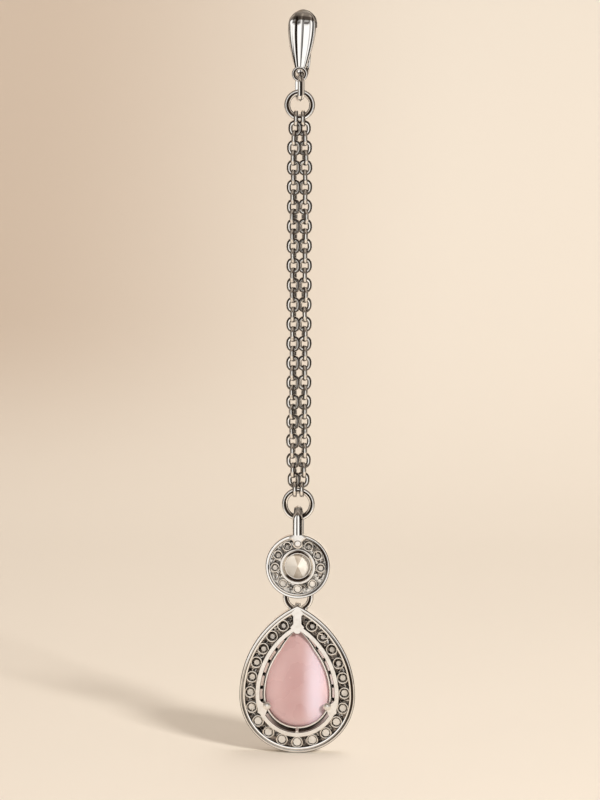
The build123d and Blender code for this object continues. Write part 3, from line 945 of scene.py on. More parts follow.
def chain_piece(name, low, high, side, seed, node):
    """One strand: it leaves the upper ring close to the middle and returns to it at the lower."""
    top = high.z - LINK_HEIGHT / 2
    foot = low.z + LINK_HEIGHT / 2
    points = []
    for share in CHAIN_SHARES:
        ease = min(1.0, min(share, 1 - share) / 0.09)
        across = side * END_ACROSS + (side * CHAIN_ACROSS - side * END_ACROSS) * ease
        points.append((across, side * CHAIN_DEPTH * ease, top + (foot - top) * share))
    values = {
        "Links": LINKS,
        "Link Height": LINK_HEIGHT * MM,
        "Link Width": LINK_WIDTH * MM,
        "Wire": LINK_WIRE * MM,
        "Lean": 0.21 * side,
        "Unrest": 0.15,
        "Seed": seed,
        "Finish": chain_metal,
    }
    steps = [(n, n + 1) for n in range(len(points) - 1)]
    mesh = grown(name, chain_links, values, points, steps, 26.0)
    return set_piece(name, mesh, chain_metal, "chains", "chain_metal", [node])


chain_piece("cable_chain_left", left_low, left_high, -1, 3, "chain_left")
chain_piece("cable_chain_right", right_low, right_high, 1, 8, "chain_right")


# ---- what the halo and the pear share -------------------------------------------------------
def cup_tree():
    """Small open tubes, one at each point, their mouths rounded."""
    t = Tree(
        "row of cups",
        [("Outer", 1.05 * MM), ("Wall", 0.28 * MM), ("Depth", 2.0 * MM), ("Finish", None)],
    )
    wall = t.given["Wall"]
    mouth = t.disc(24, t.maths("SUBTRACT", t.given["Outer"], t.times(wall, 0.5)))
    tube = t.swept(mouth, t.rounded(wall, t.given["Depth"], t.times(wall, 0.4), 2))
    return t.set_out(t.given[0], t.turned(tube, FACE_AFT))


def web_tree():
    """Ragged little bars of cast metal left between the cups, bent and turned at random."""
    t = Tree(
        "webs between cups",
        [
            ("Per Gap", 4), ("Spread", 0.5 * MM), ("Depth", 0.7 * MM), ("Length", 0.8 * MM),
            ("Wire", 0.11 * MM), ("Seed", 1), ("Finish", None),
        ],
    )
    seed = t.given["Seed"]
    values = {"Geometry": t.given[0], "Amount": t.given["Per Gap"]}
    many = t.node("GeometryNodeDuplicateElements", values, domain="POINT")
    scatter = t.chance((-1.0, -1.0, -1.0), (1.0, 1.0, 1.0), seed)
    reach = t.triple(t.given["Spread"], t.given["Depth"], t.given["Spread"])
    offset = t.vectors("MULTIPLY", scatter, reach)[0]
    moved = t.node("GeometryNodeSetPosition", {"Geometry": many, "Offset": offset})
    half = t.times(t.given["Length"], 0.5)
    bow = t.times(half, 0.55)
    bar = t.node(
        "GeometryNodeCurveQuadraticBezier",
        {
            "Resolution": 4,
            "Start": t.triple(t.times(half, -1.0), 0.0, 0.0),
            "Middle": t.triple(0.0, bow, bow),
            "End": t.triple(half, 0.0, 0.0),
        },
    )
    web = t.swept(bar, t.disc(6, t.given["Wire"]), True)
    turn = t.chance((-0.5, -3.1, -0.5), (0.5, 3.1, 0.5), t.maths("ADD", seed, 5.0))
    size = t.chance((0.6, 0.7, 0.6), (1.25, 1.8, 1.3), t.maths("ADD", seed, 9.0))
    return t.set_out(moved, web, Rotation=turn, Scale=size)


def bead_tree():
    """Round beads of metal raised at each point, each a little larger or smaller."""
    t = Tree("setting beads", [("Bead", 0.22 * MM), ("Seed", 1), ("Finish", None)])
    values = {"Segments": 8, "Rings": 5, "Radius": t.given["Bead"]}
    bead = t.node("GeometryNodeMeshUVSphere", values)
    size = t.chance((0.85, 0.85, 0.85), (1.15, 1.1, 1.15), t.given["Seed"])
    return t.set_out(t.given[0], bead, Scale=size)


row_of_cups = cup_tree()
cup_webs = web_tree()
setting_beads = bead_tree()


def cut_stone(centre, girdle, front, behind, culet, phase, off_centre):
    """A cut stone: pavilion facets behind, girdle, two rows of crown facets and a table."""
    sides, table, girdle_wall = 8, 0.55, 0.08
    y_girdle, y_table = front - 0.35, front + 0.12
    halfway = y_girdle + girdle_wall + (y_table - y_girdle) * 0.5
    rows = (
        (behind, girdle * culet, 0.0, off_centre * girdle),
        (y_girdle, girdle, 0.0, 0.0),
        (y_girdle + girdle_wall, girdle, 0.0, 0.0),
        (halfway, girdle * (table + 1) / 2, 0.5, 0.0),
        (y_table, girdle * table, 0.0, 0.0),
    )
    rings = []
    for y, radius, twist, aside in rows:
        ring = []
        for n in range(sides):
            turn = 2 * pi * (n + twist + phase) / sides
            x = centre[0] + aside * 0.6 + radius * sin(turn)
            ring.append((x, y, centre[1] - aside + radius * cos(turn)))
        rings.append(ring)
    return skin(rings, closed=False)


def stone_mesh(name, stones, low, high):
    """Stones joined as one mesh; each facet gets painted shade in the second colour, darker on higher
    stones and on facets turned up and to the left, with some random spread.
    """
    mesh = closed_mesh(name, stones, 8.0)
    shade = mesh.attributes.new("facet", "FLOAT", "FACE")
    chance = random.Random(SEED)
    for face in mesh.polygons:
        share = clip((face.center.z / MM - low) / (high - low))
        across = hypot(face.normal.x, face.normal.z)
        dark = 0.08 + 0.5 * share
        if across > 0.15:
            toward = (0.8 * face.normal.z - 0.5 * face.normal.x) / across
            dark = 0.2 + share * (0.6 + 0.4 * toward)
        shade.data[face.index].value = clip(dark + chance.uniform(-0.08, 0.16))
    return mesh


CUP_DEPTH = 1.75
CUP_SIZES = {"Wall": 0.3 * MM, "Depth": CUP_DEPTH * MM}
WEB_SIZES = {
    "Per Gap": 7, "Spread": 0.45 * MM, "Depth": 0.6 * MM, "Length": 0.95 * MM, "Wire": 0.15 * MM
}
BEAD_SIZES = {"Bead": 0.25 * MM}
BEAD_ALONG = 0.24
BEAD_ACROSS = 0.52


def grown_piece(name, tree, finish, body, points, sizes, **values):
    """A metal piece grown by a tree over points."""
    mesh = grown(name, tree, {**sizes, **values, "Finish": finish}, points)
    return set_piece(name, mesh, finish, body, "white_metal")


def small_stones(name, places, body, back, front, stone_radius, seed):
    """The row's stones: those higher up sit deeper, with smaller culets further off centre."""
    chance = random.Random(seed)
    stones = []
    low = min(z for x, z in places)
    high = max(z for x, z in places)
    for x, z in places:
        share = (z - low) / (high - low)
        behind = back + 0.5 + 0.3 * share + chance.uniform(0, 0.25)
        culet = chance.uniform(0.84, 0.92) - 0.4 * share
        phase = chance.random()
        off_centre = 0.24 * share * chance.uniform(0.6, 1.0)
        stone = cut_stone((x, z), stone_radius, front, behind, culet, phase, off_centre)
        stones.append(stone)
    mesh = stone_mesh(name, stones, low, high)
    set_piece(name, mesh, small_finish, body, "clear_stone")


def setting(body, places, gaps, tangents, back, front, cup_radius, stone_radius, seed):
    """Cups, small stones, webs and beads along a row of places (x, z)."""
    cup_middle = back + 0.25 + CUP_DEPTH / 2
    tubes = [(x, cup_middle, z) for x, z in places]
    cups = {**CUP_SIZES, "Outer": cup_radius * MM}
    grown_piece(body + "_cups", row_of_cups, cup_metal, body, tubes, cups)
    small_stones(body + "_stones", places, body, back, front, stone_radius, seed)
    bars = [(x, (back + front) / 2 - 0.5, z) for x, z in gaps]
    grown_piece(body + "_webs", cup_webs, satin_flat, body, bars, WEB_SIZES, Seed=seed)
    beads = []
    for (x, z), (ax, az) in zip(gaps, tangents):
        for along in (-BEAD_ALONG, BEAD_ALONG):
            for across in (-BEAD_ACROSS, BEAD_ACROSS):
                bead_x = x + ax * along - az * across
                beads.append((bead_x, front - 0.02, z + az * along + ax * across))
    grown_piece(body + "_beads", setting_beads, high_polish, body, beads, BEAD_SIZES, Seed=seed)


# ---- round halo -----------------------------------------------------------------------------
HALO_BACK = -1.5
HALO_ANGLES = (28, 60, 93, 140, 180, 220, 267, 300, 332)

HALO_RAIL = rail_section(
    [
        (0, 3.0, 0.15), (0, 0.5, 0.02), (0, 0.12, 0.12), (-0.15, 0, 0.08), (-0.42, 0, 0.02),
        (-0.48, 0.02, 0.01), (-0.56, 0.06, 0.015), (-0.7, 0.01, 0.02), (-0.83, 0.03, 0.05),
        (-0.86, 2.85, 0.05),
    ],
    HALO_RADIUS,
    HALO_BACK,
)
# painted shade on the rail's two edges and a painted dark reflection in its groove
HALO_EDGES = ((HALO_RADIUS, 0.09, 0.85), (HALO_RADIUS - 0.85, 0.05, 0.8))
HALO_GROOVE = ((HALO_RADIUS - 0.56, 0.17, 1.0),)
ROUND = 128
marked_rail(
    "halo_rail",
    HALO_RAIL,
    halo_rings(HALO_RAIL, ROUND),
    HALO_EDGES,
    HALO_GROOVE,
    # how dark the groove's painted reflection is at each place round the halo
    [
        0.06 + 0.94 * hump(n / ROUND, 0.18, 0.13) + 0.5 * hump(n / ROUND, 0.4, 0.07)
        for n in range(ROUND)
    ],
    high_polish,
    "halo",
    ["halo"],
)

BEZEL = rail_section(
    [
        (3.41, 2.95, 0.1), (3.41, 0, 0.1), (2.95, 0, 0.1), (2.86, 0.5, 0.04), (2.5, 0.86, 0.06),
        (2.36, 0.84, 0.05), (2.42, 1.2, 0.05), (2.98, 2.1, 0.03), (2.98, 2.65, 0.1),
        (2.78, 2.98, 0.08),
    ],
    0,
    HALO_BACK,
    3,
)
marked_rail(
    "stone_bezel",
    BEZEL,
    halo_rings(BEZEL),
    # painted shade on the outer edge, and a painted dark reflection at the step at 2.98 mm, only near
    # the top
    ((3.41, 0.04, 0.8),),
    ((2.98, 0.2, 1.0),),
    [hump(((n + 48) % 96 - 48) / 96, 0.02, 0.07) for n in range(96)],
    satin_flat,
    "halo",
)

BEZEL_WELL = rail_section(
    [
        (2.95, 0.2, 0.03), (2.87, 0.2, 0.03), (2.74, 0.58, 0.05), (2.5, 0.78, 0.03),
        (2.5, 1.0, 0.03), (2.95, 0.7, 0.03),
    ],
    0,
    HALO_BACK,
    3,
)
HALO_FLOOR = [(5.5, 0.55), (3.2, 0.55), (3.2, 0.9), (5.5, 0.9)]
HALO_FACE = [(5.5, 0.88), (3.2, 0.88), (3.2, 1.22), (3.9, 1.34), (4.8, 1.34), (5.5, 1.22)]
for name, section, finish in (
    ("bezel_well", BEZEL_WELL, well_finish),
    ("halo_floor", HALO_FLOOR, plate_metal),
    ("halo_face", HALO_FACE, high_polish),
):
    piece(name, [skin(halo_rings(section))], finish, "halo")


def on_circle(turn):
    return CUP_CIRCLE * sin(radians(turn)), HALO_Z + CUP_CIRCLE * cos(radians(turn))


CUP_CIRCLE = 4.38
HALO_GAPS = (44, 76.5, 116, 160, 200, 244, 283.5, 316, 12, 348)
setting(
    "halo",
    [on_circle(turn) for turn in HALO_ANGLES],
    [on_circle(turn) for turn in HALO_GAPS],
    [(cos(radians(turn)), -sin(radians(turn))) for turn in HALO_GAPS],
    back=HALO_BACK,
    front=1.36,
    cup_radius=0.98,
    stone_radius=0.74,
    seed=21,
)


def round_stone_mesh():
    """The middle stone: behind, its facets meet in a point, painted as two broad side facets and two
    narrow ones.
    """
    girdle = (round_high.x - round_low.x) / 2
    y_girdle = 0.85
    sides = 16
    rows = []
    for y, radius, sides_turn in (
        (y_girdle, girdle, 0.0),
        (y_girdle + 0.12, girdle, 0.0),
        (y_girdle + 0.55, girdle * 0.8, 0.5),
        (round_high.y, girdle * 0.56, 0.0),
    ):
        turns = [2 * pi * (n + sides_turn) / sides for n in range(sides)]
        rows.append([(radius * sin(turn), y, HALO_Z + radius * cos(turn)) for turn in turns])
    shape, faces = skin(rows, closed=False)[:2]
    faces = [face for face in faces if tuple(range(sides)) != tuple(face)]
    tip = len(shape)
    shape = shape + [(0.0, round_low.y, HALO_Z)]
    faces += [(tip, (n + 1) % sides, n) for n in range(sides)]
    mesh = closed_mesh("round_brilliant", [(shape, faces)], 1.0)
    shade = mesh.attributes.new("facet", "FLOAT", "FACE")
    # painted reflection: the narrow facets behind at top and bottom go tan, the broad side ones stay
    # light, the crown between
    for face in mesh.polygons:
        x, y, z = face.center / MM
        tilt = abs(degrees(atan2(x, z - HALO_Z)))
        narrow = tilt < 30 or tilt > 150
        shade.data[face.index].value = (0.85 if narrow else 0.08) if y < y_girdle else 0.3
    return mesh


round_stone = round_stone_mesh()
set_piece("round_brilliant", round_stone, round_finish, "halo", "clear_stone", ["round_stone"])

# bail over the lower ring's wire, and the solder that runs down from it over the rail
WIRE_Z = low_ring_low.z + (low_ring_high.y - low_ring_low.y) / 2
BAIL_SECTION = [
    (0.99, -0.08), (0.97, 0.16), (0.92, 0.3), (0.86, 0.37), (0.66, 0.42), (0.56, 0.44),
    (0.48, 0.5), (0.42, 0.54), (0.15, 0.57), (-0.02, 0.56), (-0.1, 0.53), (-0.16, 0.48),
    (-0.22, 0.51), (-0.3, 0.54), (-0.6, 0.53), (-0.84, 0.47), (-0.92, 0.38), (-0.97, 0.2),
    (-0.99, -0.08),
]
BAIL_SECTION += [
    (0.86 * cos(pi + pi * n / 8), 0.3 * sin(pi + pi * n / 8) - 0.1) for n in range(9)
]
# painted dark reflection lines along the strap: (place across, half width, darkness)
BAIL_LINES = ((-0.16, 0.05, 1.0), (0.52, 0.05, 0.9), (0.98, 0.03, 0.9), (-0.98, 0.03, 0.9))


def bail_route():
    """Places and outward directions: up behind, over the ring's wire, down in front."""
    route = []
    straight = 3.2
    for n in range(9):
        share = n / 8
        place = Vector((0, -1.5 - 0.08 * share, WIRE_Z - straight * (1 - share)))
        route.append((place, Vector((0, -1, 0.03))))
    for n in range(1, 24):
        turn = pi * n / 24
        out = Vector((0, -cos(turn), sin(turn)))
        route.append((Vector((0, 0, WIRE_Z)) + Vector((0, out.y * 1.58, out.z * 1.72)), out))
    for n in range(9):
        share = n / 8
        place = Vector((0, 1.58 - 0.55 * share**1.5, WIRE_Z - straight * share))
        route.append((place, Vector((0, 1, 0.15 * share))))
    return route


def bail_mesh():
    """A ridged strap, its ridges fading into a plain round back where it goes over the wire, with
    painted dark lines along it that give way to painted shade over the top.
    """
    rings, marks = [], []
    lines = [near_lines(a, BAIL_LINES) for a, b in BAIL_SECTION]
    for place, out in bail_route():
        over = clip(1.6 * out.z)
        shade_weight = hump(out.z, 0.75, 0.35)
        ring = []
        for (a, b), line in zip(BAIL_SECTION, lines):
            rounded = b + (0.57 - 0.42 * a * a - b) * over if b > 0 else b
            side = Vector((a * (1 - 0.22 * over * over), 0, 0))
            ring.append(place + side + out.normalized() * rounded)
            # over the top the painted lines give way to painted shade, darker at the sides
            marks.append(line * (1 - shade_weight) + shade_weight * (0.7 if abs(a) > 0.75 else 0.15))
        rings.append(ring)
    shape, faces = skin(rings, closed=False)[:2]
    return shape, faces, marks


def solder_mesh():
    """A smooth run of solder: as wide as the bail, flared on the rail, round at its foot."""
    top = HALO_Z + HALO_RADIUS + 0.45
    profile = (
        (0.0, 0.9), (0.3, 0.94), (0.6, 1.15), (0.85, 1.6), (1.05, 1.75), (1.3, 1.35), (1.6, 1.02),
        (1.85, 0.88), (2.15, 0.92), (2.45, 0.94), (2.75, 0.82), (2.98, 0.58), (3.1, 0.3),
    )
    rings = []
    for drop, half in profile:
        ring = []
        for k in range(21):
            u = -1 + k / 10
            rise = 0.2 * sqrt(max(0.0, 1 - u * u)) * min(1.0, (3.15 - drop) * 1.8)
            ring.append((u * half, HALO_BACK + 0.02 - rise, top - drop))
        for k in range(21):
            u = 1 - k / 10
            ring.append((u * half * 0.96, HALO_BACK + 0.75, top - drop))
        rings.append(ring)
    return skin(rings, closed=False)


HALF_RING_WIRE = 1.15 / 2
HALF_RING_RADIUS = 2.37
HALF_RING_Y = 0.3


def half_ring_mesh():
    """Round wire from the rail, round under it and back up, for the pear to hang from."""
    route = []
    up = Vector((0, 1, 0))
    radius = HALF_RING_RADIUS
    centre_z = halo_low.z + HALF_RING_WIRE + radius
    top = HALO_Z - HALO_RADIUS + 0.5
    for n in range(5):
        place = Vector((radius, HALF_RING_Y, top + (centre_z - top) * n / 5))
        route.append((place, Vector((1, 0, 0)), up))
    for n in range(33):
        turn = pi * n / 32
        out = Vector((cos(turn), 0, -sin(turn)))
        route.append((Vector((0, HALF_RING_Y, centre_z)) + out * radius, out, up))
    for n in range(1, 6):
        place = Vector((-radius, HALF_RING_Y, centre_z + (top - centre_z) * n / 5))
        route.append((place, Vector((-1, 0, 0)), up))
    return carried(ring_wire(HALF_RING_WIRE), route, False, wire_marks(HALF_RING_WIRE))


filled_cup = wire_circle((0, HALO_BACK - 0.1, HALO_Z + 4.4), 0.6, 0.13, 32)
piece("bail_strap", [bail_mesh()], high_polish, "halo")
piece("solder_run", [solder_mesh(), filled_cup], satin_flat, "halo", crease=50)
piece("half_ring", [half_ring_mesh()], high_polish, "halo")


# ---- pear drop ------------------------------------------------------------------------------
PEAR_BACK = -1.9
rail_line = PearLine(PEAR_HALF, 17.42)
gallery_line = PearLine(8.03, 13.8)
cup_line = PearLine(9.05, 15.4)
CUP_PITCH = 2.96

PEAR_RAIL = rail_section(
    [
        (0, 3.4, 0.15), (0, 0.5, 0.02), (0, 0.14, 0.13), (0.17, 0.01, 0.1), (0.41, 0, 0.02),
        (0.48, 0.02, 0.01), (0.56, 0.06, 0.015), (0.7, 0, 0.02), (0.82, 0, 0.1),
        (1.06, 0.04, 0.08), (1.12, 3.3, 0.05),
    ],
    0,
    PEAR_BACK,
)
ROUND = 240
marked_rail(
    "pear_rail",
    PEAR_RAIL,
    rail_line.rings(PEAR_RAIL, ROUND),
    # painted shade on the rail's edges and a painted dark reflection in its groove, its strength
    # changing round the pear
    ((0.0, 0.1, 0.85), (1.1, 0.06, 0.8)),
    ((0.56, 0.17, 1.0),),
    [
        0.1 + 0.9 * hump(n / ROUND, 0.25, 0.14) + 0.4 * hump(n / ROUND, 0.82, 0.1)
        for n in range(ROUND)
    ],
    high_polish,
    "pear",
    ["pear_frame"],
)

GALLERY_RAIL = rail_section(
    [(0, 3.4, 0.1), (0, 0, 0.1), (0.84, 0, 0.07), (0.86, 0.4, 0.03), (0.6, 3.4, 0.05)],
    0,
    PEAR_BACK,
    3,
)
# painted dark reflection lines at the gallery rail's two edges
GALLERY_LINES = ((0.0, 0.03, 0.7), (0.86, 0.03, 0.7))
gallery_rail = skin(
    gallery_line.rings(GALLERY_RAIL, ROUND),
    ring_marks=[near_lines(inset, GALLERY_LINES) for inset, y in GALLERY_RAIL],
)
piece("pear_gallery", [gallery_rail], satin_flat, "pear")


GALLERY_WALL = rail_section(
    [
        (0.8, 0.1, 0.02), (0.93, 0.26, 0.01), (1.0, 0.34, 0.01), (1.2, 0.58, 0.01),
        (1.4, 0.82, 0.01), (1.53, 0.94, 0.02), (1.58, 0.76, 0.02), (1.84, 0.76, 0.04),
        (1.86, 2.1, 0.05), (1.7, 3.3, 0.08), (0.5, 3.35, 0.05),
    ],
    0,
    PEAR_BACK,
    3,
)
# painted dark lines along the wall: (place across, half width, darkness)
WALL_LINES = ((0.8, 0.06, 0.8), (1.55, 0.035, 0.95))


def gallery_wall_mesh():
    """The wall that slopes from the inner rail to the cabochon, notched behind each small stone, with
    painted shade in the notches, painted dark lines along it and a streaked painted dark reflection
    low round the bottom.
    """
    whole = gallery_line.length()
    count = 360
    rings, marks = [], []
    for inset, y in GALLERY_WALL:
        line = near_lines(inset, WALL_LINES)
        ring = []
        for n in range(count):
            share = n / count
            near = (share * whole + CUP_PITCH / 2) % CUP_PITCH - CUP_PITCH / 2
            bite = 0.0
            if 0.14 < share < 0.86 and 0.9 < inset < 1.45 and y < 0.0:
                bite = max(0.0, 1 - (near / 0.36) ** 2)
            # a streaked painted dark reflection low round the bottom, and painted shade in each notch
            low = clip(10 * abs(share - 0.5) - 3.7)
            streak = 0.5 + 0.5 * sin(70 * share) * sin(31 * share + 1)
            bowl = low * (1.0 - 0.3 * streak) if 0.95 < inset < 1.5 else 0.0
            marks.append(max(bowl, line, min(1.0, 1.6 * bite)))
            taper = min(1.0, abs(share - 0.5) / 0.09)
            x, z = gallery_line.point(share, 0.8 + (inset - 0.8) * taper - 0.3 * bite)
            ring.append((x, y + 0.3 * bite, PEAR_Z + z))
        rings.append(ring)
    shape, faces = skin(rings)[:2]
    joint = [
        [(a, y, PEAR_Z - 7.1 + b + reach) for a, b in oval(0.32, 0.25, 12)]
        for y, reach in ((PEAR_BACK + 0.12, 0.0), (PEAR_BACK + 0.95, 0.75))
    ]
    return [(shape, faces, marks), skin(joint, closed=False)]


piece("gallery_wall", gallery_wall_mesh(), satin_flat, "pear", crease=38)

PEAR_FLOOR = [(1.0, 0.45), (3.2, 0.45), (3.2, 0.85), (1.0, 0.85)]
PEAR_FACE = [(1.0, 0.8), (3.2, 0.8), (3.2, 1.25), (2.6, 1.38), (1.6, 1.38), (1.0, 1.25)]
piece("pear_floor", [skin(rail_line.rings(PEAR_FLOOR, 160))], pit_metal, "pear")
piece("pear_face", [skin(rail_line.rings(PEAR_FACE, 160))], high_polish, "pear")


def on_cup_line(share):
    x, z = cup_line.point(share % 1.0)
    return x, PEAR_Z + z


cup_pitch_share = CUP_PITCH / cup_line.length()
pear_gaps, pear_tangents = [], []
for number in range(-11, 11):
    share = (number + 0.5) * cup_pitch_share
    x, z = on_cup_line(share)
    next_x, next_z = on_cup_line(share + 0.002)
    long = hypot(next_x - x, next_z - z)
    pear_gaps.append((x, z))
    pear_tangents.append(((next_x - x) / long, (next_z - z) / long))
setting(
    "pear",
    [on_cup_line(number * cup_pitch_share) for number in range(-10, 11)],
    pear_gaps,
    pear_tangents,
    back=PEAR_BACK,
    front=1.4,
    cup_radius=1.17,
    stone_radius=0.88,
    seed=33,
)


def flat_plate(outline, back, front, edge):
    """A flat plate with softly broken edges, from corners of (x, z, corner radius), with painted
    shade on its broken edges and sides.
    """
    line = [Vector(point) for point in softened(outline, 4)]
    middle = sum(line, Vector((0, 0))) / len(line)
    rings = []
    for y, pull in ((back, edge), (back + edge, 0.0), (front, 0.0)):
        ring = []
        for point in line:
            moved = point + (middle - point).normalized() * pull
            ring.append((moved.x, y, PEAR_Z + moved.y))
        rings.append(ring)
    return skin(rings, closed=False, ring_marks=(0.0, 0.6, 0.6))


BRIDGE = [
    (0.0, 17.22, 0.12), (-1.25, 16.0, 0.25), (-0.78, 15.4, 0.35), (-0.78, 13.9, 0.3),
    (-1.35, 13.2, 0.05), (-1.0, 12.75, 0.05), (-0.66, 12.9, 0.05), (-0.64, 12.0, 0.5),
    (0.64, 12.0, 0.5), (0.66, 12.9, 0.05), (1.0, 12.75, 0.05), (1.35, 13.2, 0.05),
    (0.78, 13.9, 0.3), (0.78, 15.4, 0.35), (1.25, 16.0, 0.25),
]
bridge = flat_plate(BRIDGE, PEAR_BACK - 0.01, -0.9, 0.03)
piece("pear_bridge", [bridge], satin_flat, "pear")

CLAW = (
    (7.6, -0.3, 0.05), (6.95, -1.2, 0.3), (6.3, -1.6, 0.3), (5.6, -1.6, 0.3), (5.3, -2.4, 0.3),
    (5.75, -3.0, 0.4), (6.2, -4.2, 0.05), (7.6, -3.4, 0.05),
)
tabs, claw_tips = [], []
for side in (-1, 1):
    outline = [(side * x, z, radius) for x, z, radius in CLAW]
    tabs.append(flat_plate(outline, PEAR_BACK - 0.02, PEAR_BACK + 0.5, 0.06))
    tip = (side * 5.8, PEAR_BACK + 0.06, PEAR_Z - 2.05)
    claw_tips.append(ball(tip, (0.8, 0.42, 0.78), 12, 24))
piece("claw_tabs", tabs, satin_flat, "pear")
piece("claw_tips", claw_tips, satin_flat, "pear", crease=60)


def ear_mesh():
    """A short tube lying across the pear, round the half ring's wire."""
    section = softened(
        [(0.76, -0.57, 0.15), (0.76, 0.57, 0.15), (1.44, 0.57, 0.3), (1.44, -0.57, 0.3)]
    )
    centre_z = halo_low.z + HALF_RING_WIRE
    turns = [2 * pi * n / 48 for n in range(48)]
    return skin(
        [
            [
                (across, HALF_RING_Y + radius * cos(turn), centre_z + radius * sin(turn))
                for turn in turns
            ]
            for radius, across in section
        ]
    )


piece("pear_ear", [ear_mesh()], high_polish, "pear")


def cabochon_mesh():
    """A pear dome on both sides of its girdle, low behind and high in front, its tip rounded."""
    line = PearLine(CABOCHON_HALF, CABOCHON_RISE + 1.1)
    count = 160
    base = [Vector(line.point(n / count)) for n in range(count)]
    for _ in range(8):
        smooth = [(base[n - 1] + base[(n + 1) % count]) / 2 for n in range(count)]
        for n in range(count // 2 - 9, count // 2 + 10):
            base[n] = base[n].lerp(smooth[n], 0.5)
    centre = Vector((0, 1.2))
    girdle_y, smallest, steps = 0.35, 0.02, 12
    profile = []
    for n in range(steps + 1):
        turn = pi / 2 * n / steps
        y = cabochon_low.y + 1.05 * (1 - cos(turn) ** 0.9)
        profile.append((sin(turn) if n else smallest, y))
    for n in range(1, steps + 1):
        turn = pi / 2 * n / steps
        y = girdle_y + (cabochon_high.y - girdle_y) * sin(turn)
        profile.append((cos(turn) if n < steps else smallest, y))
    rings = []
    for share, y in profile:
        flat = [centre + (point - centre) * share for point in base]
        rings.append([(point.x, y, PEAR_Z + point.y) for point in flat])
    return skin(rings, closed=False)


piece(
    "pink_cabochon", [cabochon_mesh()], pink_glass, "pear", "pink_stone", ["pear_cabochon"], 60
)


# ---- floor, light and camera ----------------------------------------------------------------
FLOOR_Z = pear_low.z


def paper_finish():
    """Warm cream paper, its tone drifting a little at random, with painted shade over the left of the
    sweep where it rises and a little painted shade higher up; clear from behind.
    """
    material, tree, shader = new_finish("cream paper")
    place = object_place(tree)
    parts = split(tree, place)
    height = maths(tree, "SUBTRACT", parts["Z"], FLOOR_Z * MM)
    # painted shade: the left of the sweep darker where it rises, and all of it a little darker higher
    # up
    fade = spread(tree, parts["X"], -0.13, 0.02, 1.0, 0.0)
    shade = maths(tree, "MULTIPLY", spread(tree, height, -0.012, 0.045), fade)
    tone = blended(tree, noise(tree, place, 9.0, 2.0), (0.87, 0.81, 0.73), (0.89, 0.83, 0.75))
    tone = blended(tree, spread(tree, height, 0.02, 0.22), tone, (0.79, 0.735, 0.66))
    fibre = noise(tree, place, 2500.0, 2.0)
    looks = {
        "Base Color": blended(tree, shade, tone, (0.64, 0.54, 0.45)),
        "Roughness": spread(tree, fibre, 0.2, 0.8, 0.75, 0.9),
        "Specular IOR Level": 0.2,
        "Normal": bump(tree, fibre, 0.02),
    }
    fit(tree, shader, looks)
    clear = added(tree, "ShaderNodeBsdfTransparent").outputs[0]
    back = added(tree, "ShaderNodeNewGeometry").outputs["Backfacing"]
    choose = added(tree, "ShaderNodeMixShader", {0: back, 1: shader.outputs[0], 2: clear})
    tree.links.new(choose.outputs[0], tree.nodes["Material Output"].inputs["Surface"])
    return material


def sweep_mesh():
    """One sheet of paper: flat under the ornament, curving up well behind it."""
    profile = [(-0.13, 0.0), (0.0, 0.0), (0.28, 0.0)]
    for n in range(1, 17):
        turn = pi / 2 * n / 16
        profile.append((0.28 + 0.5 * sin(turn), 0.5 * (1 - cos(turn))))
    profile.append((0.78, 2.4))
    points, faces = [], []
    for y, z in profile:
        points += [(-0.5, y, FLOOR_Z * MM + z), (0.35, y, FLOOR_Z * MM + z)]
    for n in range(len(profile) - 1):
        faces.append((2 * n, 2 * n + 1, 2 * n + 3, 2 * n + 2))
    mesh = bpy.data.meshes.new("paper_sweep")
    mesh.from_pydata(points, [], faces)
    mesh.shade_smooth()
    mesh.materials.append(paper_finish())
    return mesh


sweep = bpy.data.objects.new("paper_sweep", sweep_mesh())
bpy.context.scene.collection.objects.link(sweep)


DARK_GAP = (0.02, 0.014, 0.01)
SURROUNDING = (
    (0, (1.08, 1.05, 1.01)), (17, (1.15, 1.13, 1.1)), (21, (1.0, 0.97, 0.92)), (25, DARK_GAP),
    (50, DARK_GAP), (55, (0.66, 0.57, 0.48)), (78, (0.55, 0.47, 0.39)), (81, (0.025, 0.017, 0.012)),
    (85, (0.025, 0.017, 0.012)), (90, (0.33, 0.29, 0.25)), (180, (0.3, 0.265, 0.23)),
)  # degrees away from behind the camera, and what glows there


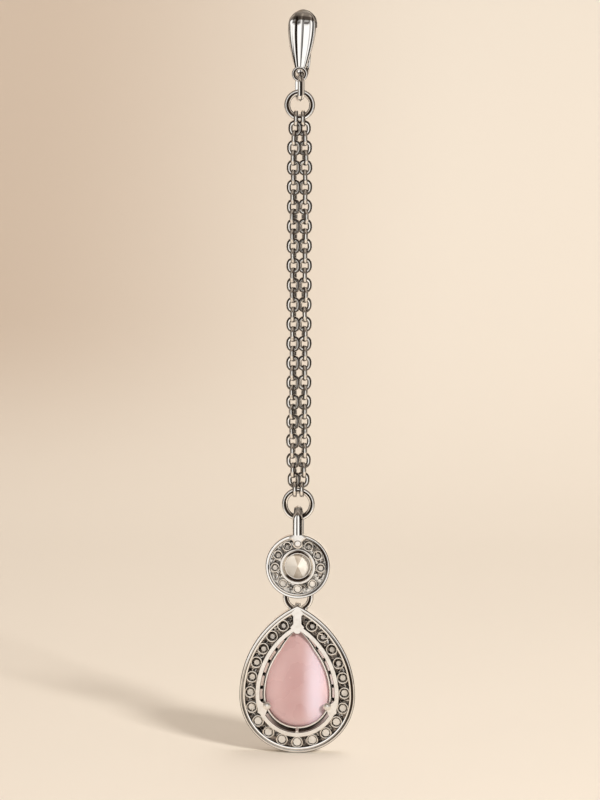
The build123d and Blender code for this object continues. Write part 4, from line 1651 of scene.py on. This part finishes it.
def studio_world():
    """Bright screens behind the camera, dark gaps between them, and a dim warm ceiling."""
    world = bpy.data.worlds.new("soft studio")
    bpy.context.scene.world = world
    world.use_nodes = True
    tree = world.node_tree
    heading = added(tree, "ShaderNodeTexCoord").outputs["Generated"]
    x, y, z = split(tree, heading)
    turn = maths(tree, "ARCTAN2", x, maths(tree, "MULTIPLY", y, -1.0))
    turn = maths(tree, "MULTIPLY", turn, 180 / pi)
    rise = maths(tree, "MULTIPLY", maths(tree, "ARCSINE", z), 180 / pi)
    above = maths(tree, "MULTIPLY", maths(tree, "MAXIMUM", rise, 0.0), 0.9)
    below = maths(tree, "MULTIPLY", maths(tree, "MINIMUM", rise, 0.0), 0.3)
    high = maths(tree, "ADD", above, below)
    turn_square = maths(tree, "MULTIPLY", turn, turn)
    high_square = maths(tree, "MULTIPLY", high, high)
    away = maths(tree, "SQRT", maths(tree, "ADD", turn_square, high_square))
    ramp = added(tree, "ShaderNodeValToRGB", {"Fac": maths(tree, "MULTIPLY", away, 1 / 180)})
    elements = ramp.color_ramp.elements
    elements.remove(elements[0])
    for number, (angle, colour) in enumerate(SURROUNDING):
        spot = elements[0] if number == 0 else elements.new(angle / 180)
        spot.position = angle / 180
        spot.color = (*colour, 1.0)
    ceiling = spread(tree, rise, 14.0, 34.0, 0.0, 0.5)
    colour = blended(tree, ceiling, ramp.outputs["Color"], (0.36, 0.29, 0.235))
    seen = added(tree, "ShaderNodeLightPath").outputs["Is Camera Ray"]
    colour = blended(tree, seen, colour, (0.86, 0.74, 0.62))
    fit(tree, tree.nodes["Background"], {"Color": colour, "Strength": 1.0})


studio_world()


def lamp(name, place, aim, size, power):
    """A rectangular screen lamp that metal doesn't mirror."""
    data = bpy.data.lights.new(name, "AREA")
    data.shape = "RECTANGLE"
    data.size, data.size_y = size
    data.energy = power
    data.color = (1.0, 0.96, 0.9)
    holder = bpy.data.objects.new(name, data)
    bpy.context.scene.collection.objects.link(holder)
    holder.location = place
    holder.visible_glossy = False
    holder.rotation_mode = "QUATERNION"
    holder.rotation_quaternion = (Vector(aim) - Vector(place)).to_track_quat("-Z", "Y")


lamp("key screen", (0.68, -1.03, 0.43), (0, 0, -0.12), (0.24, 0.2), 17.0)
lamp("top screen", (0.3, 0.2, 1.1), (0, 0.1, -0.1), (0.8, 0.6), 5.0)

TURN = radians(3.5)
RISE = radians(6.0)
ROLL = radians(0.2)
LENS = 210.0
SENSOR = 36.0
VIEW_HEIGHT = 152.6 * MM
TARGET = Vector((0.25 * MM, 0.0, -73.8 * MM))
away = Vector((sin(TURN) * cos(RISE), -cos(TURN) * cos(RISE), sin(RISE)))
camera_data = bpy.data.cameras.new("camera")
camera_data.lens = LENS
camera_data.sensor_width = SENSOR
camera_data.clip_start = 0.05
camera_data.clip_end = 20.0
camera = bpy.data.objects.new("camera", camera_data)
bpy.context.scene.collection.objects.link(camera)
camera.location = TARGET + away * (VIEW_HEIGHT * LENS / SENSOR)
camera.rotation_mode = "QUATERNION"
camera.rotation_quaternion = Quaternion(away, ROLL) @ (-away).to_track_quat("-Z", "Y")
bpy.context.scene.camera = camera
bpy.context.scene.view_settings.view_transform = "Standard"
